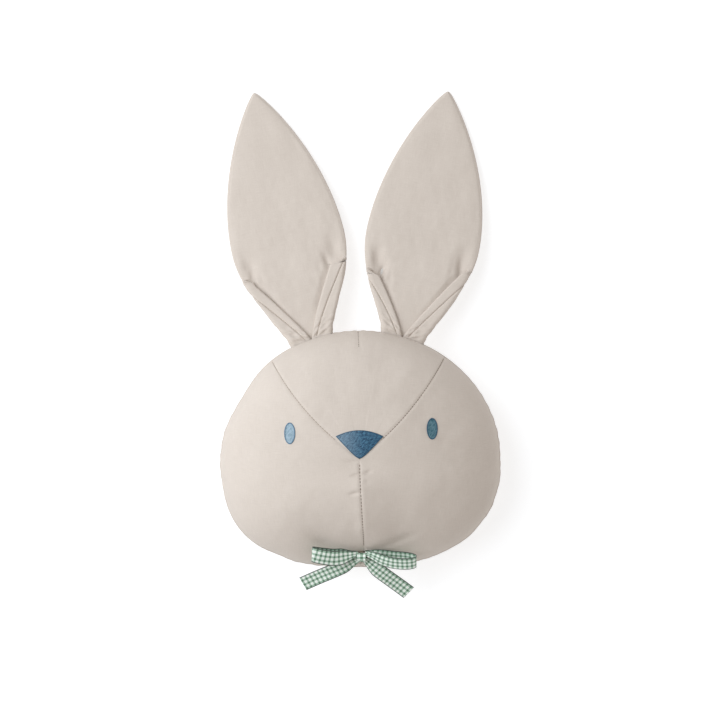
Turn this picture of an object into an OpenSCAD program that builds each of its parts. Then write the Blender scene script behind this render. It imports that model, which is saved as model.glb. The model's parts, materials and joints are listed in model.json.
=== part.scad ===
// Bunny-head cushion: a three-panel face, two padded ears, embroidery and a gingham ribbon bow.
// It lies on its back. +Z comes up out of the face, +Y runs to the ear tips and +X is the viewer's
// right. The origin is on the floor, straight below the point where the face panels meet.

/* [Head] */
// Width of the head across the cheeks
head_w = 281; // [250:1:310]
// Distance from the nose point to the crown
crown_h = 128; // [115:1:140]
// Distance from the nose point to the chin
chin_h = 107; // [97:1:118]
// Squareness of the lower outline, where 2 is an ellipse
chin_power = 2.35; // [2:0.05:2.8]
// Height of the perimeter seam above the floor
rim_z = 42; // [38:1:46]
// Rise of the face above the perimeter seam
face_dome = 78; // [68:1:86]
// Sideways bow of the two brow seams
brow_bend = 12; // [0:1:16]
// Depth of the tuck that the bow's stitches pull in
tuck_depth = 12; // [11:0.5:14]
// Depth of the hollows above the bow's loops
hollow_depth = 9; // [0:1:11]

/* [Fabric] */
// Thickness of the fabric as modelled
fabric_t = 1; // [0.8:0.1:1.2]
// Space for the seam allowances between the fabric and the filling
allowance = 3.2; // [2.8:0.1:3.6]
// Radius of a seam thread
thread_r = 0.4; // [0.3:0.05:0.45]

/* [Ears] */
// Distance from the perimeter seam to the left ear's tip
left_ear_len = 252; // [225:1:275]
// Distance from the perimeter seam to the right ear's tip
right_ear_len = 250; // [225:1:275]
// Lean of the left ear away from the middle
left_ear_lean = 13.2; // [11:0.2:16]
// Lean of the right ear away from the middle
right_ear_lean = 10.6; // [9:0.2:14]
// Half width of an ear at its widest
ear_half_w = 58; // [50:1:60]
// Half width of an ear where it is sewn in
ear_base_half_w = 22; // [19:1:24]
// Thickness of an ear at its middle
ear_t = 9; // [7:0.5:10]

/* [Face] */
// Width of an embroidered eye
eye_w = 11; // [8:0.5:14]
// Height of an embroidered eye
eye_h = 21.3; // [16:0.5:26]
// Width of the embroidered nose
nose_w = 48.5; // [40:0.5:56]
// Height of the embroidered nose
nose_h = 28; // [22:0.5:32]

/* [Bow] */
// Width of the ribbon
ribbon_w = 15.4; // [13:0.2:16]
// Thickness of the ribbon as modelled
ribbon_t = 0.8; // [0.6:0.1:1]
// Length of the left loop from its root
left_loop_len = 44; // [36:1:48]
// Length of the right loop from its root
right_loop_len = 50; // [40:1:54]
// Length of the left tail from its root
left_tail_len = 59; // [50:1:66]
// Length of the right tail from its root
right_tail_len = 55; // [48:1:62]

/* [Hidden] */

linen_lit = [0.87, 0.83, 0.79];
linen_shade = [0.76, 0.71, 0.66];
linen_back = [0.81, 0.76, 0.72];
wadding_white = [0.95, 0.94, 0.92];
thread_beige = [0.70, 0.62, 0.54];
thread_brown = [0.45, 0.36, 0.29];
nose_blue = [0.31, 0.46, 0.57];
nose_edge_blue = [0.22, 0.36, 0.46];
ribbon_green = [0.49, 0.63, 0.53];

// Angles, counter-clockwise from +X, where the seams between the face panels reach the perimeter
right_brow_a = 50.6;
left_brow_a = 132;
chin_a = 270;
// Half of the angle that separates two face panels
panel_gap_a = 0.06;
// Half of the gap between the face and the back at the perimeter seam
rim_gap = 0.1;
// Exponent of the section of the face and the back
dome_power = 2.2;
// How much deeper than the seam's height the back would hang if the floor did not flatten it
back_sag = 1.14;
back_dome = rim_z * back_sag;
// Where the dome of the back meets the floor, as a share of the way to the perimeter
flat_s = pow(1 - pow(1 / back_sag, 2), 1 / dome_power);
fill_inset = fabric_t + allowance;
seam_inset = fabric_t + allowance / 2 - 0.5;

rings = 8;
first_s = 0.012;
back_rings = 5;
cheek_steps = 12;
forehead_steps = 8;
thread_sides = 5;

// Knot of the bow
knot_p = [1, -97, 78];
knot_w = 8.5;
knot_r = 4.75;
bow_tilt = 24;
tuck_r = 24;
hollow_r = 20;
left_hollow_p = [-37, -82];
right_hollow_p = [41, -81];
rim_fade = 12;

left_eye_p = [-70, 26.5];
right_eye_p = [71, 31];
border_w = 1.1;
border_gap = 0.15;
stitch_lift = 0.05;
fill_stitch_h = 0.7;
border_stitch_h = 1;

// Each ear is [x where it meets the perimeter, lean to the right, length]
left_ear = [-49, -left_ear_lean, left_ear_len];
right_ear = [42, right_ear_lean, right_ear_len];
// Distance from the perimeter to an ear's fold line; the ear's own layers start just before it
ear_hinge_u = 6.2;
ear_start_u = ear_hinge_u - 0.5;
ear_wide_u = 100;
// The margins lie folded flat up to the first distance and have opened by the second
fold_full_u = 48;
fold_open_u = 104;
open_curl = 5;
ear_base_t = 3.4;
ear_edge_t = 3.2;
layer_gap = 0.2;
ear_stations = 14;

// A number from 0 to 1 that eases in and out
function ease(t) = let (c = min(1, max(0, t))) c * c * (3 - 2 * c);
function mix(a, b, t) = a + (b - a) * t;
function unit(v) = v / norm(v);

// ---- Head surface ----

// Distance from the middle to the perimeter at angle a, set in by inset
function rim_r(a, inset) =
    let (half = head_w / 2 - inset)
    let (tall = (sin(a) > 0 ? crown_h : chin_h) - inset)
    let (n = sin(a) > 0 ? 2 : chin_power)
    pow(pow(abs(cos(a)) / half, n) + pow(abs(sin(a)) / tall, n), -1 / n);

// How far p is on its way from the middle (0) to the perimeter (1)
function level(p, inset) = norm(p) / rim_r(atan2(p.y, p.x), inset);

function dip(p, centre, r) = exp(-pow(norm(p - centre) / r, 2));

// Depth to which the bow pulls in the fabric at p
function pulled(p) =
    tuck_depth * dip(p, [knot_p.x, knot_p.y + 1], tuck_r)
    + hollow_depth * (dip(p, left_hollow_p, hollow_r) + dip(p, right_hollow_p, hollow_r));

function dome(s) = sqrt(max(0, 1 - pow(s, dome_power)));

function face_z(p, inset) =
    let (s = level(p, inset))
    rim_z + rim_gap + (face_dome - inset) * dome(s) - pulled(p) * ease(rim_fade * (1 - s));

function back_z(s, inset) = max(inset, rim_z - rim_gap - (back_dome - inset) * dome(s));

// Plan position at share s of the way out, on lines that bow with the brow seams
function face_plan(s, a, inset) =
    s * rim_r(a, inset) * [cos(a), sin(a)]
    + 4 * s * (1 - s) * -brow_bend * cos(a) * [-sin(a), cos(a)];

function on_face(p, inset) = [p.x, p.y, face_z(p, inset)];
function face_point(s, a, inset) = on_face(face_plan(s, a, inset), inset);
function back_point(s, a, inset) =
    let (r = s * rim_r(a, inset)) [r * cos(a), r * sin(a), back_z(s, inset)];

// Shares of the way out, closer together towards the perimeter
face_levels = [for (i = [1:rings]) sin(90 * i / rings)];
flat_turn = asin(flat_s);
back_levels = concat(
    [flat_s / 2],
    [for (i = [0:back_rings]) sin(mix(flat_turn, 90, i / back_rings))]
);

// Angles across each panel; the cheeks are divided finer towards the chin
function chinward(t) = 0.5 * t + 0.5 * sin(90 * t);
forehead_angles = [for (i = [0:forehead_steps]) mix(right_brow_a, left_brow_a, i / forehead_steps)];
left_cheek_angles = [for (i = [0:cheek_steps]) mix(left_brow_a, chin_a, chinward(i / cheek_steps))];
right_cheek_angles =
    [for (i = [cheek_steps:-1:0]) mix(right_brow_a, chin_a - 360, chinward(i / cheek_steps))];
function tail_of(list) = [for (i = [1:len(list) - 1]) list[i]];
around = concat(tail_of(right_cheek_angles), tail_of(forehead_angles), tail_of(left_cheek_angles));

// ---- Building blocks ----

// Two triangles of a four-sided face, clockwise from outside
function quad(a, b, c, d) = [[a, b, c], [a, c, d]];
function flat_list(lists) = [for (l = lists) each l];

// A closed sheet between two grids of points; a ring's rows close on themselves
module slab(top, under, ring = false) {
    rows = len(top);
    cols = len(top[0]);
    cells = ring ? cols : cols - 1;
    function t(i, j) = i * cols + j % cols;
    function u(i, j) = rows * cols + t(i, j);
    last = rows - 1;
    surface = [
        for (i = [0:rows - 2], j = [0:cells - 1])
            concat(quad(t(i, j), t(i, j + 1), t(i + 1, j + 1), t(i + 1, j)),
                   quad(u(i, j), u(i + 1, j), u(i + 1, j + 1), u(i, j + 1)))
    ];
    ends = [
        for (j = [0:cells - 1])
            concat(quad(t(0, j + 1), t(0, j), u(0, j), u(0, j + 1)),
                   quad(t(last, j), t(last, j + 1), u(last, j + 1), u(last, j)))
    ];
    sides = ring ? [] : [
        for (i = [0:rows - 2])
            concat(quad(t(i, 0), t(i + 1, 0), u(i + 1, 0), u(i, 0)),
                   quad(t(i + 1, cols - 1), t(i, cols - 1), u(i, cols - 1), u(i + 1, cols - 1)))
    ];
    polyhedron(
        points = concat(flat_list(top), flat_list(under)),
        faces = flat_list(concat(surface, ends, sides))
    );
}

// A closed skin from a first point, through rings of points, to a last point
module skin(first, loops, last) {
    n = len(loops[0]);
    rows = len(loops);
    function at(i, j) = 1 + i * n + j % n;
    end = 1 + rows * n;
    polyhedron(
        points = concat([first], flat_list(loops), [last]),
        faces = concat(
            [for (j = [0:n - 1]) [0, at(0, j + 1), at(0, j)]],
            [
                for (i = [0:rows - 2], j = [0:n - 1])
                    each quad(at(i, j), at(i, j + 1), at(i + 1, j + 1), at(i + 1, j))
            ],
            [for (j = [0:n - 1]) [at(rows - 1, j), at(rows - 1, j + 1), end]]
        )
    );
}

// A thread swept along a path; hint points across the path
module thread(path, r, hint, closed = false) {
    n = len(path);
    sides = thread_sides;
    function ahead(i) = path[closed ? (i + 1) % n : min(i + 1, n - 1)];
    function behind(i) = path[closed ? (i + n - 1) % n : max(i - 1, 0)];
    function along(i) = unit(ahead(i) - behind(i));
    function across(i) = let (t = along(i)) unit(hint - (hint * t) * t);
    function at(i, k) = (i % n) * sides + k % sides;
    points = [
        for (i = [0:n - 1], k = [0:sides - 1])
            let (a = across(i), b = cross(along(i), a))
            path[i] + r * (cos(360 * k / sides) * a + sin(360 * k / sides) * b)
    ];
    tube = [
        for (i = [0:(closed ? n - 1 : n - 2)], k = [0:sides - 1])
            each quad(at(i, k), at(i + 1, k), at(i + 1, k + 1), at(i, k + 1))
    ];
    caps = closed ? [] : [
        [for (k = [0:sides - 1]) k],
        [for (k = [sides - 1:-1:0]) at(n - 1, k)]
    ];
    polyhedron(points = points, faces = concat(tube, caps));
}

// ---- Head ----

module face_panel(angles) {
    low = angles[0] + panel_gap_a;
    high = angles[len(angles) - 1] - panel_gap_a;
    cut = [for (a = angles) min(high, max(low, a))];
    out = concat([first_s], face_levels);
    slab(
        [for (s = out) [for (a = cut) face_point(s, a, 0)]],
        [for (s = out) [for (a = cut) face_point(s, a, fabric_t)]]
    );
}

module head_filling() {
    color(wadding_white)
    skin(
        face_point(0.0001, 90, fill_inset),
        concat(
            [for (s = face_levels) [for (a = around) face_point(s, a, fill_inset)]],
            [
                for (i = [len(back_levels) - 1:-1:0])
                    [for (a = around) back_point(back_levels[i], a, fill_inset)]
            ]
        ),
        [0, 0, fill_inset]
    );
}

module forehead_panel() { color(linen_lit) face_panel(forehead_angles); }
module left_cheek_panel() { color(linen_lit) face_panel(left_cheek_angles); }
module right_cheek_panel() { color(linen_shade) face_panel(right_cheek_angles); }

module back_panel() {
    color(linen_back)
    skin(
        [0, 0, fabric_t],
        concat(
            [for (s = back_levels) [for (a = around) back_point(s, a, fabric_t)]],
            [
                for (i = [len(back_levels) - 1:-1:0])
                    [for (a = around) back_point(back_levels[i], a, 0)]
            ]
        ),
        [0, 0, 0]
    );
}

// A seam's thread lies in the allowance, just under the fabric
module face_seam(a, levels) {
    path = [for (i = [-1:levels - 1]) i < 0 ? face_levels[0] / 2 : face_levels[i]];
    thread([for (s = path) face_point(s, a, seam_inset)], thread_r, [-sin(a), cos(a), 0]);
}

module rim_seam_thread() {
    color(thread_beige)
    thread(
        [for (a = around) let (r = rim_r(a, seam_inset)) [r * cos(a), r * sin(a), rim_z]],
        thread_r, [0, 0, 1], closed = true
    );
}

module left_brow_seam_thread() { color(thread_beige) face_seam(left_brow_a, 7); }
module right_brow_seam_thread() { color(thread_beige) face_seam(right_brow_a, 7); }
module chin_seam_thread() { color(thread_brown) face_seam(chin_a, 5); }

// The dart in the crown closes a small tuck between the ears
dart_top = [-2.4, 124.5];
dart_end = [-1.7, 112];
dart_steps = 4;

module crown_dart_thread() {
    color(thread_brown)
    thread(
        [for (i = [0:dart_steps]) on_face(mix(dart_end, dart_top, i / dart_steps), seam_inset + 0.4)],
        thread_r, [1, 0, 0]
    );
}

// Hand stitches that close the turning gap, along the perimeter seam at the lower right
closing_from_a = 287;
closing_to_a = 318;
closing_stitches = 9;
closing_out = 0.75;

module closing_thread() {
    color(thread_beige)
    thread(
        [
            for (i = [0:closing_stitches])
                let (a = mix(closing_from_a, closing_to_a, i / closing_stitches))
                let (r = rim_r(a, -closing_out))
                [r * cos(a), r * sin(a), rim_z]
        ],
        thread_r, [0, 0, 1]
    );
}

// ---- Embroidery ----

// Stitching of height h on the face, over rows of plan points
module stitched(rows, h, ring = false) {
    slab(
        [for (row = rows) [for (p = row) on_face(p, 0) + [0, 0, h]]],
        [for (row = rows) [for (p = row) on_face(p, 0) + [0, 0, stitch_lift]]],
        ring
    );
}

// Share of the half width that the fill's first and last columns keep
fill_end = 0.98;
eye_cols = 4;
eye_rows = 4;
eye_sides = 20;

module eye_fill(centre) {
    w = eye_w / 2 - border_w - border_gap;
    h = eye_h / 2 - border_w - border_gap;
    color(nose_blue)
    stitched(
        [
            for (i = [-eye_cols:eye_cols])
                let (x = sin(90 * i / eye_cols) * fill_end)
                [for (j = [-eye_rows:eye_rows]) centre + [w * x, h * sqrt(1 - x * x) * j / eye_rows]]
        ],
        fill_stitch_h
    );
}

module eye_border(centre) {
    color(nose_edge_blue)
    stitched(
        [
            for (inset = [border_w, 0])
                [
                    for (k = [0:eye_sides - 1])
                        let (a = 360 * k / eye_sides)
                        centre + [(eye_w / 2 - inset) * cos(a), (eye_h / 2 - inset) * sin(a)]
                ]
        ],
        border_stitch_h, ring = true
    );
}

module left_eye_fill() { eye_fill(left_eye_p); }
module left_eye_border() { eye_border(left_eye_p); }
module right_eye_fill() { eye_fill(right_eye_p); }
module right_eye_border() { eye_border(right_eye_p); }

// The nose is a soft triangle: t runs from its left corner (-1) to its right (1)
nose_corner_share = 0.785;
nose_tip_round = 0.08;
nose_cols = 6;
nose_rows = 4;
nose_middle = [0, 17];
nose_inner_scale = 0.885;
nose_fill_scale = 0.87;

function nose_low(t) =
    nose_h * nose_corner_share * (norm([t, nose_tip_round]) - nose_tip_round)
    / (norm([1, nose_tip_round]) - nose_tip_round);
function nose_high(t) = nose_h * (1 - (1 - nose_corner_share) * t * t);
function nose_t(i) = fill_end * i / nose_cols;
function nose_p(t, y) = [nose_w / 2 * t, y];
function shrunk(p, k) = nose_middle + (p - nose_middle) * k;

module nose_fill() {
    color(nose_blue)
    stitched(
        [
            for (i = [-nose_cols:nose_cols])
                let (t = nose_t(i))
                [
                    for (j = [0:nose_rows])
                        shrunk(nose_p(t, mix(nose_low(t), nose_high(t), j / nose_rows)), nose_fill_scale)
                ]
        ],
        fill_stitch_h
    );
}

module nose_border() {
    outline = concat(
        [for (i = [-nose_cols:nose_cols]) nose_p(nose_t(i), nose_low(nose_t(i)))],
        [for (i = [nose_cols:-1:-nose_cols]) nose_p(nose_t(i), nose_high(nose_t(i)))]
    );
    color(nose_edge_blue)
    stitched(
        [for (k = [nose_inner_scale, 1]) [for (p = outline) shrunk(p, k)]],
        border_stitch_h, ring = true
    );
}

// ---- Ears ----

function ear_root(e) = [e[0], crown_h * sqrt(1 - pow(2 * e[0] / head_w, 2))];
// Slope of the perimeter where the ear is sewn in
function ear_seam_a(e) =
    let (root = ear_root(e)) atan(-pow(crown_h / (head_w / 2), 2) * root.x / root.y);

// Half width of the ear's visible outline at distance u from the perimeter
function ear_half(e, u) =
    u < ear_wide_u
        ? mix(ear_base_half_w, ear_half_w, pow(sin(90 * u / ear_wide_u), 1.5))
        : ear_half_w * pow(max(0, 1 - pow((u - ear_wide_u) / (e[2] - ear_wide_u), 2)), 0.9);

// Thickness of the ear's middle at u
function ear_mid_t(e, u) =
    u < ear_wide_u
        ? mix(ear_base_t, ear_t, ease((u - ear_start_u) / (ear_wide_u / 2)))
        : mix(ear_edge_t, ear_t, sqrt(max(0, 1 - pow((u - ear_wide_u) / (e[2] - ear_wide_u), 3))));

// Height of the ear's underside: it leaves the perimeter seam and settles on the floor
function ear_under(e, u) =
    let (t = (u - ear_start_u) / (e[2] - ear_start_u))
    (rim_z - ear_fold_r(e, ear_start_u) - ear_base_t / 2) * pow(max(0, 1 - t), 1.7);

// Turn of the margins: folded right over at the base, nearly flat beyond
function ear_turn(u) = mix(180, open_curl, ease((u - fold_full_u) / (fold_open_u - fold_full_u)));
function ear_bend_len(e, u) = 0.4 * ear_half(e, u);
function ear_fold_r(e, u) = ear_bend_len(e, u) / (ear_turn(u) * PI / 180);
function ear_flap_len(e, u) = ear_half(e, u) * max(0.15, 0.7 - 0.0085 * u);
function ear_flat_len(e, u) =
    let (r = ear_fold_r(e, u), turn = ear_turn(u))
    ear_half(e, u) - (turn < 90 ? r * sin(turn) + ear_flap_len(e, u) * cos(turn) : r);

// Half a section, as [sideways, up, turn, share of the way to the edge] for each sample
function ear_samples(e, u) =
    let (flat_len = ear_flat_len(e, u), bend = ear_bend_len(e, u), flap = ear_flap_len(e, u))
    let (r = ear_fold_r(e, u), turn = ear_turn(u), whole = flat_len + bend + flap)
    concat(
        [for (k = [0:2]) [flat_len * k / 2, 0, 0, flat_len * k / 2 / whole]],
        [
            for (k = [1:3])
                let (a = turn * k / 3)
                [flat_len + r * sin(a), r * (1 - cos(a)), a, (flat_len + bend * k / 3) / whole]
        ],
        [
            for (k = [1:2])
                let (m = flap * k / 2)
                [
                    flat_len + r * sin(turn) + m * cos(turn),
                    r * (1 - cos(turn)) + m * sin(turn),
                    turn,
                    (flat_len + bend + m) / whole
                ]
        ]
    );

// From ear distances to the part's frame; sections turn from the seam's slope to the ear's own axis
function ear_place(e, u, v, z) =
    let (axis = [sin(e[1]), cos(e[1])])
    let (skew = mix(ear_seam_a(e), -e[1], ease(u / 60)))
    let (p = ear_root(e) + u * axis + v * [cos(skew), sin(skew)])
    [p.x, p.y, z];

// A point on the layer at share h of the thickness from the underside (0) to the front (1)
function ear_point(e, u, sample, side, h, inset) =
    let (t = mix(ear_mid_t(e, u), ear_edge_t, 1 - sqrt(max(0, 1 - pow(sample[3], 4)))))
    let (lift = h * (t - 2 * inset) - (t / 2 - inset))
    let (v = sample[0] - lift * sin(sample[2]))
    ear_place(e, u, side * v, ear_under(e, u) + ear_mid_t(e, u) / 2 + sample[1] + lift * cos(sample[2]));

// One row of points across the ear, from its right edge to its left
function ear_row(e, u, h, inset) =
    let (half = ear_samples(e, u), n = len(half))
    concat(
        [for (k = [n - 1:-1:1]) ear_point(e, u, half[k], 1, h, inset)],
        [for (k = [0:n - 1]) ear_point(e, u, half[k], -1, h, inset)]
    );

// Distances along the ear, closer together at the fold and the tip
ear_tip_u = 0.985;
function ear_us(e) =
    [
        for (i = [0:ear_stations])
            let (t = i / ear_stations)
            mix(ear_start_u, ear_tip_u * e[2], t + 0.06 * sin(360 * t))
    ];

// A layer between two surfaces, each [share of the thickness, inset]
module ear_layer(e, top, under) {
    us = ear_us(e);
    slab(
        [for (u = us) ear_row(e, u, top[0], top[1])],
        [for (u = us) ear_row(e, u, under[0], under[1])]
    );
}

module ear_front_panel(e) { ear_layer(e, [1, 0], [1, fabric_t]); }
module ear_back_panel(e) { ear_layer(e, [0, fabric_t], [0, 0]); }
module ear_wadding(e) { ear_layer(e, [1, fabric_t + layer_gap], [0, fabric_t + layer_gap]); }

// The thread that joins the ear's two panels runs round its edge
edge_out = 0.8;

function ear_edge(e, u, side) =
    let (half = ear_samples(e, u), s = half[len(half) - 1])
    ear_place(
        e, u, side * (s[0] + edge_out * cos(s[2])),
        ear_under(e, u) + ear_mid_t(e, u) / 2 + s[1] + edge_out * sin(s[2])
    );

module ear_edge_thread(e) {
    us = ear_us(e);
    n = len(us) - 1;
    tip = ear_place(e, us[n] + edge_out + thread_r, 0, ear_under(e, us[n]) + ear_mid_t(e, us[n]) / 2);
    thread(
        concat(
            [for (i = [0:n]) ear_edge(e, us[i], -1)],
            [tip],
            [for (i = [n:-1:0]) ear_edge(e, us[i], 1)]
        ),
        thread_r, [0, 0, 1]
    );
}

// The stitches that hold the folded ear in the perimeter seam
tack_half = 20;
tack_steps = 6;
tack_out = 0.6;

module ear_tack_thread(e) {
    from_a = atan2(ear_root(e).y, ear_root(e).x);
    half_a = tack_half / norm(ear_root(e)) * 180 / PI;
    thread(
        [
            for (i = [-tack_steps:tack_steps])
                let (a = from_a + half_a * i / tack_steps)
                let (r = rim_r(a, -tack_out))
                [r * cos(a), r * sin(a), rim_z]
        ],
        thread_r, [0, 0, 1]
    );
}

module left_ear_front_panel() { color(linen_lit) ear_front_panel(left_ear); }
module left_ear_back_panel() { color(linen_back) ear_back_panel(left_ear); }
module left_ear_wadding() { color(wadding_white) ear_wadding(left_ear); }
module left_ear_edge_thread() { color(thread_beige) ear_edge_thread(left_ear); }
module left_ear_tack_thread() { color(thread_beige) ear_tack_thread(left_ear); }
module right_ear_front_panel() { color(linen_lit) ear_front_panel(right_ear); }
module right_ear_back_panel() { color(linen_back) ear_back_panel(right_ear); }
module right_ear_wadding() { color(wadding_white) ear_wadding(right_ear); }
module right_ear_edge_thread() { color(thread_beige) ear_edge_thread(right_ear); }
module right_ear_tack_thread() { color(thread_beige) ear_tack_thread(right_ear); }

// ---- Bow ----

loop_root = [6.2, 0, 0];
loop_rise = 8;
loop_h = 4.6;
right_loop_roll = 14;
root_r = 0.9;
root_half_w = 4;
gather_len = 13;
loop_steps = 28;
// The first stretch of a loop, where its two layers are pressed together
pressed = 4;

tail_root = [7, -5, -3.6];
left_tail_a = 210;
right_tail_a = -43.8;
tail_drop = 5;
tail_steps = 8;
tail_root_half_w = 3.5;

module in_bow() { translate(knot_p) rotate([bow_tilt, 0, 0]) children(); }

// Side view of a loop: a drop shape from start to end, h high each way
function drop_outline(start, end, h) =
    [
        for (k = [0:loop_steps - 1])
            let (a = 360 * k / loop_steps)
            [mix(start, end, (1 - cos(a)) / 2), h * sin(a) * sin(a / 2)]
    ];

// Plan of a ribbon that leaves the knot gathered and widens to its full width
function ribbon_plan(len, root_half) =
    [
        [-root_r, -root_half], [gather_len, -ribbon_w / 2], [len, -ribbon_w / 2],
        [len, ribbon_w / 2], [gather_len, ribbon_w / 2], [-root_r, root_half]
    ];

module ribbon_loop(len) {
    intersection() {
        rotate([90, 0, 0])
        linear_extrude(height = ribbon_w, center = true)
        difference() {
            polygon(drop_outline(0, len, loop_h));
            polygon(drop_outline(pressed, len - ribbon_t, loop_h - ribbon_t));
        }
        linear_extrude(height = 3 * loop_h, center = true) polygon(ribbon_plan(len + 1, root_half_w));
    }
    rotate([90, 0, 0]) cylinder(h = 2 * root_half_w, r = root_r, center = true);
}

function drooped(len, x) = -tail_drop * pow(x / len, 2);

module ribbon_tail(len) {
    xs = [for (i = [0:tail_steps]) len * i / tail_steps];
    intersection() {
        rotate([90, 0, 0])
        linear_extrude(height = ribbon_w, center = true)
        polygon(concat(
            [for (x = xs) [x, drooped(len, x) + ribbon_t / 2]],
            [for (i = [tail_steps:-1:0]) [xs[i], drooped(len, xs[i]) - ribbon_t / 2]]
        ));
        linear_extrude(height = 4 * tail_drop, center = true)
        polygon(ribbon_plan(len + 1, tail_root_half_w));
    }
}

module bow_knot() {
    color(ribbon_green)
    in_bow() rotate([0, 90, 0]) cylinder(h = knot_w, r = knot_r, center = true, $fn = 40);
}

// Stitches that hold the knot down in the tuck, square to the fabric there
bow_tack_len = 1.6;
bow_tack_gap = 0.4;
bow_tack_r = 1.4;
bow_tack_tilt = 58;

module bow_tack_thread() {
    color(thread_beige)
    translate(knot_p)
    rotate([bow_tack_tilt, 0, 0])
    translate([0, 0, -knot_r - bow_tack_gap - bow_tack_len])
    cylinder(h = bow_tack_len, r = bow_tack_r, $fn = 24);
}

module bow_left_loop() {
    color(ribbon_green)
    in_bow() mirror([1, 0, 0]) translate(loop_root) rotate([0, -loop_rise, 0]) ribbon_loop(left_loop_len);
}

module bow_right_loop() {
    color(ribbon_green)
    in_bow() translate(loop_root) rotate([right_loop_roll, -loop_rise, 0]) ribbon_loop(right_loop_len);
}

module bow_left_tail() {
    color(ribbon_green)
    in_bow()
    translate([-tail_root.x, tail_root.y, tail_root.z])
    rotate([0, 0, left_tail_a])
    ribbon_tail(left_tail_len);
}

module bow_right_tail() {
    color(ribbon_green)
    in_bow() translate(tail_root) rotate([0, 0, right_tail_a]) ribbon_tail(right_tail_len);
}

head_filling();
forehead_panel();
left_cheek_panel();
right_cheek_panel();
back_panel();
rim_seam_thread();
left_brow_seam_thread();
right_brow_seam_thread();
chin_seam_thread();
crown_dart_thread();
closing_thread();
left_eye_fill();
left_eye_border();
right_eye_fill();
right_eye_border();
nose_fill();
nose_border();
left_ear_front_panel();
left_ear_back_panel();
left_ear_wadding();
left_ear_edge_thread();
left_ear_tack_thread();
right_ear_front_panel();
right_ear_back_panel();
right_ear_wadding();
right_ear_edge_thread();
right_ear_tack_thread();
bow_knot();
bow_tack_thread();
bow_left_loop();
bow_right_loop();
bow_left_tail();
bow_right_tail();
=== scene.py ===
"""Looks of the bunny-head cushion: linen over a stuffed head, padded ears, embroidery and a gingham bow."""
import json
import math

import bmesh
import bpy
import numpy as np
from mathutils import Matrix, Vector


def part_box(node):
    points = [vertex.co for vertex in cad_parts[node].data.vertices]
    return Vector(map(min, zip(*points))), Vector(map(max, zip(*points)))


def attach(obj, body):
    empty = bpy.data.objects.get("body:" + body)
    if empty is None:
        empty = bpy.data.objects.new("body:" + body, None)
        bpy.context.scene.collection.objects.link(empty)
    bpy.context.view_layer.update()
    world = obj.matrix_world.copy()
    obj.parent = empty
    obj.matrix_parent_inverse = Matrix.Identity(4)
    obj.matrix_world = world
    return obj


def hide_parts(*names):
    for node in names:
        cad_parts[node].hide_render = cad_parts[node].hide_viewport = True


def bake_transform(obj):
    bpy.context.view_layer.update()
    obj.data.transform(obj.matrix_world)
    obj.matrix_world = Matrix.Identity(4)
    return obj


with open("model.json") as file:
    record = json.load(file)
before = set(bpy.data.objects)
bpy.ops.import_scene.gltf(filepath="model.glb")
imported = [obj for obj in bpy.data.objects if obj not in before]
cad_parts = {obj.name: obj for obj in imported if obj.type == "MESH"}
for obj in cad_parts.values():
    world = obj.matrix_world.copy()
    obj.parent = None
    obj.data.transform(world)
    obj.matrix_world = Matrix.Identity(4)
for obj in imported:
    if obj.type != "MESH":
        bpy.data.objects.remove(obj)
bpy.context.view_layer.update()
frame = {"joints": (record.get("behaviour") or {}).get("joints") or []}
MM = 0.001
TAU = 2 * math.pi


# ---- Numbers from the CAD model, in millimetres ----

def lowest(node):
    return np.array(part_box(node)[0]) / MM


def highest(node):
    return np.array(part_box(node)[1]) / MM


def middle(node):
    return (lowest(node) + highest(node)) / 2


def size_of(node):
    return highest(node) - lowest(node)


HEAD_HALF = highest("back_panel")[0]
CROWN = highest("back_panel")[1]
CHIN = -lowest("back_panel")[1]
RIM_Z = middle("rim_seam_thread")[2]
FACE_RISE = highest("forehead_panel")[2] - RIM_Z
KNOT = middle("bow_knot")
JOINTS = {j["name"]: j for j in frame["joints"]}

# Shapes of the head that the CAD boxes don't give, in millimetres and radians
CHIN_POWER = 2.35
DOME_POWER = 2.2
BROW_BEND = 12
BACK_SAG = 1.14
FLAT_S = (1 - (1 / BACK_SAG) ** 2) ** (1 / DOME_POWER)
RIM_GAP = 0.1
RIGHT_BROW = math.radians(50.6)
LEFT_BROW = math.radians(132)
CHIN_SEAM = math.radians(270)
CLOTH_T = 0.9
CHIN_DRIFT = 3.6
SEAMS_MEET = (-0.9, 1.8)


# ---- Small maths ----

def ease(t):
    c = np.clip(t, 0, 1)
    return c * c * (3 - 2 * c)


def mix(a, b, t):
    return a + (b - a) * t


def bell(d, width):
    return np.exp(-((d / width) ** 2))


def points(x, y, z):
    """Points from their coordinates, of any shapes that fit together."""
    return np.stack(np.broadcast_arrays(x, y, z), -1)


def unit(v):
    return v / np.maximum(np.linalg.norm(v, axis=-1, keepdims=True), 1e-9)


def field(seed, count, shortest, longest):
    """A smooth random field over a plane: plane waves of lengths between the two, from a fixed seed."""
    rng = np.random.default_rng(seed)
    size = np.exp(rng.uniform(np.log(shortest), np.log(longest), count))
    way = rng.uniform(0, TAU, count)
    phase = rng.uniform(0, TAU, count)
    kx = TAU / size * np.cos(way)
    ky = TAU / size * np.sin(way)

    def value(x, y):
        total = np.zeros(np.broadcast(x, y).shape)
        for n in range(count):
            total += np.sin(x * kx[n] + y * ky[n] + phase[n])
        return total / math.sqrt(count / 2)

    return value


def even_rows(low, high, count, *peaks):
    """Values from low to high, closer together at each peak (place, width, weight)."""
    x = np.linspace(low, high, 2000)
    weight = np.ones_like(x)
    for place, width, gain in peaks:
        weight += gain * bell(x - place, width)
    total = np.concatenate([[0], np.cumsum((weight[1:] + weight[:-1]) / 2)])
    return np.interp(np.linspace(0, total[-1], count), total, x)


# ---- Meshes ----

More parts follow.
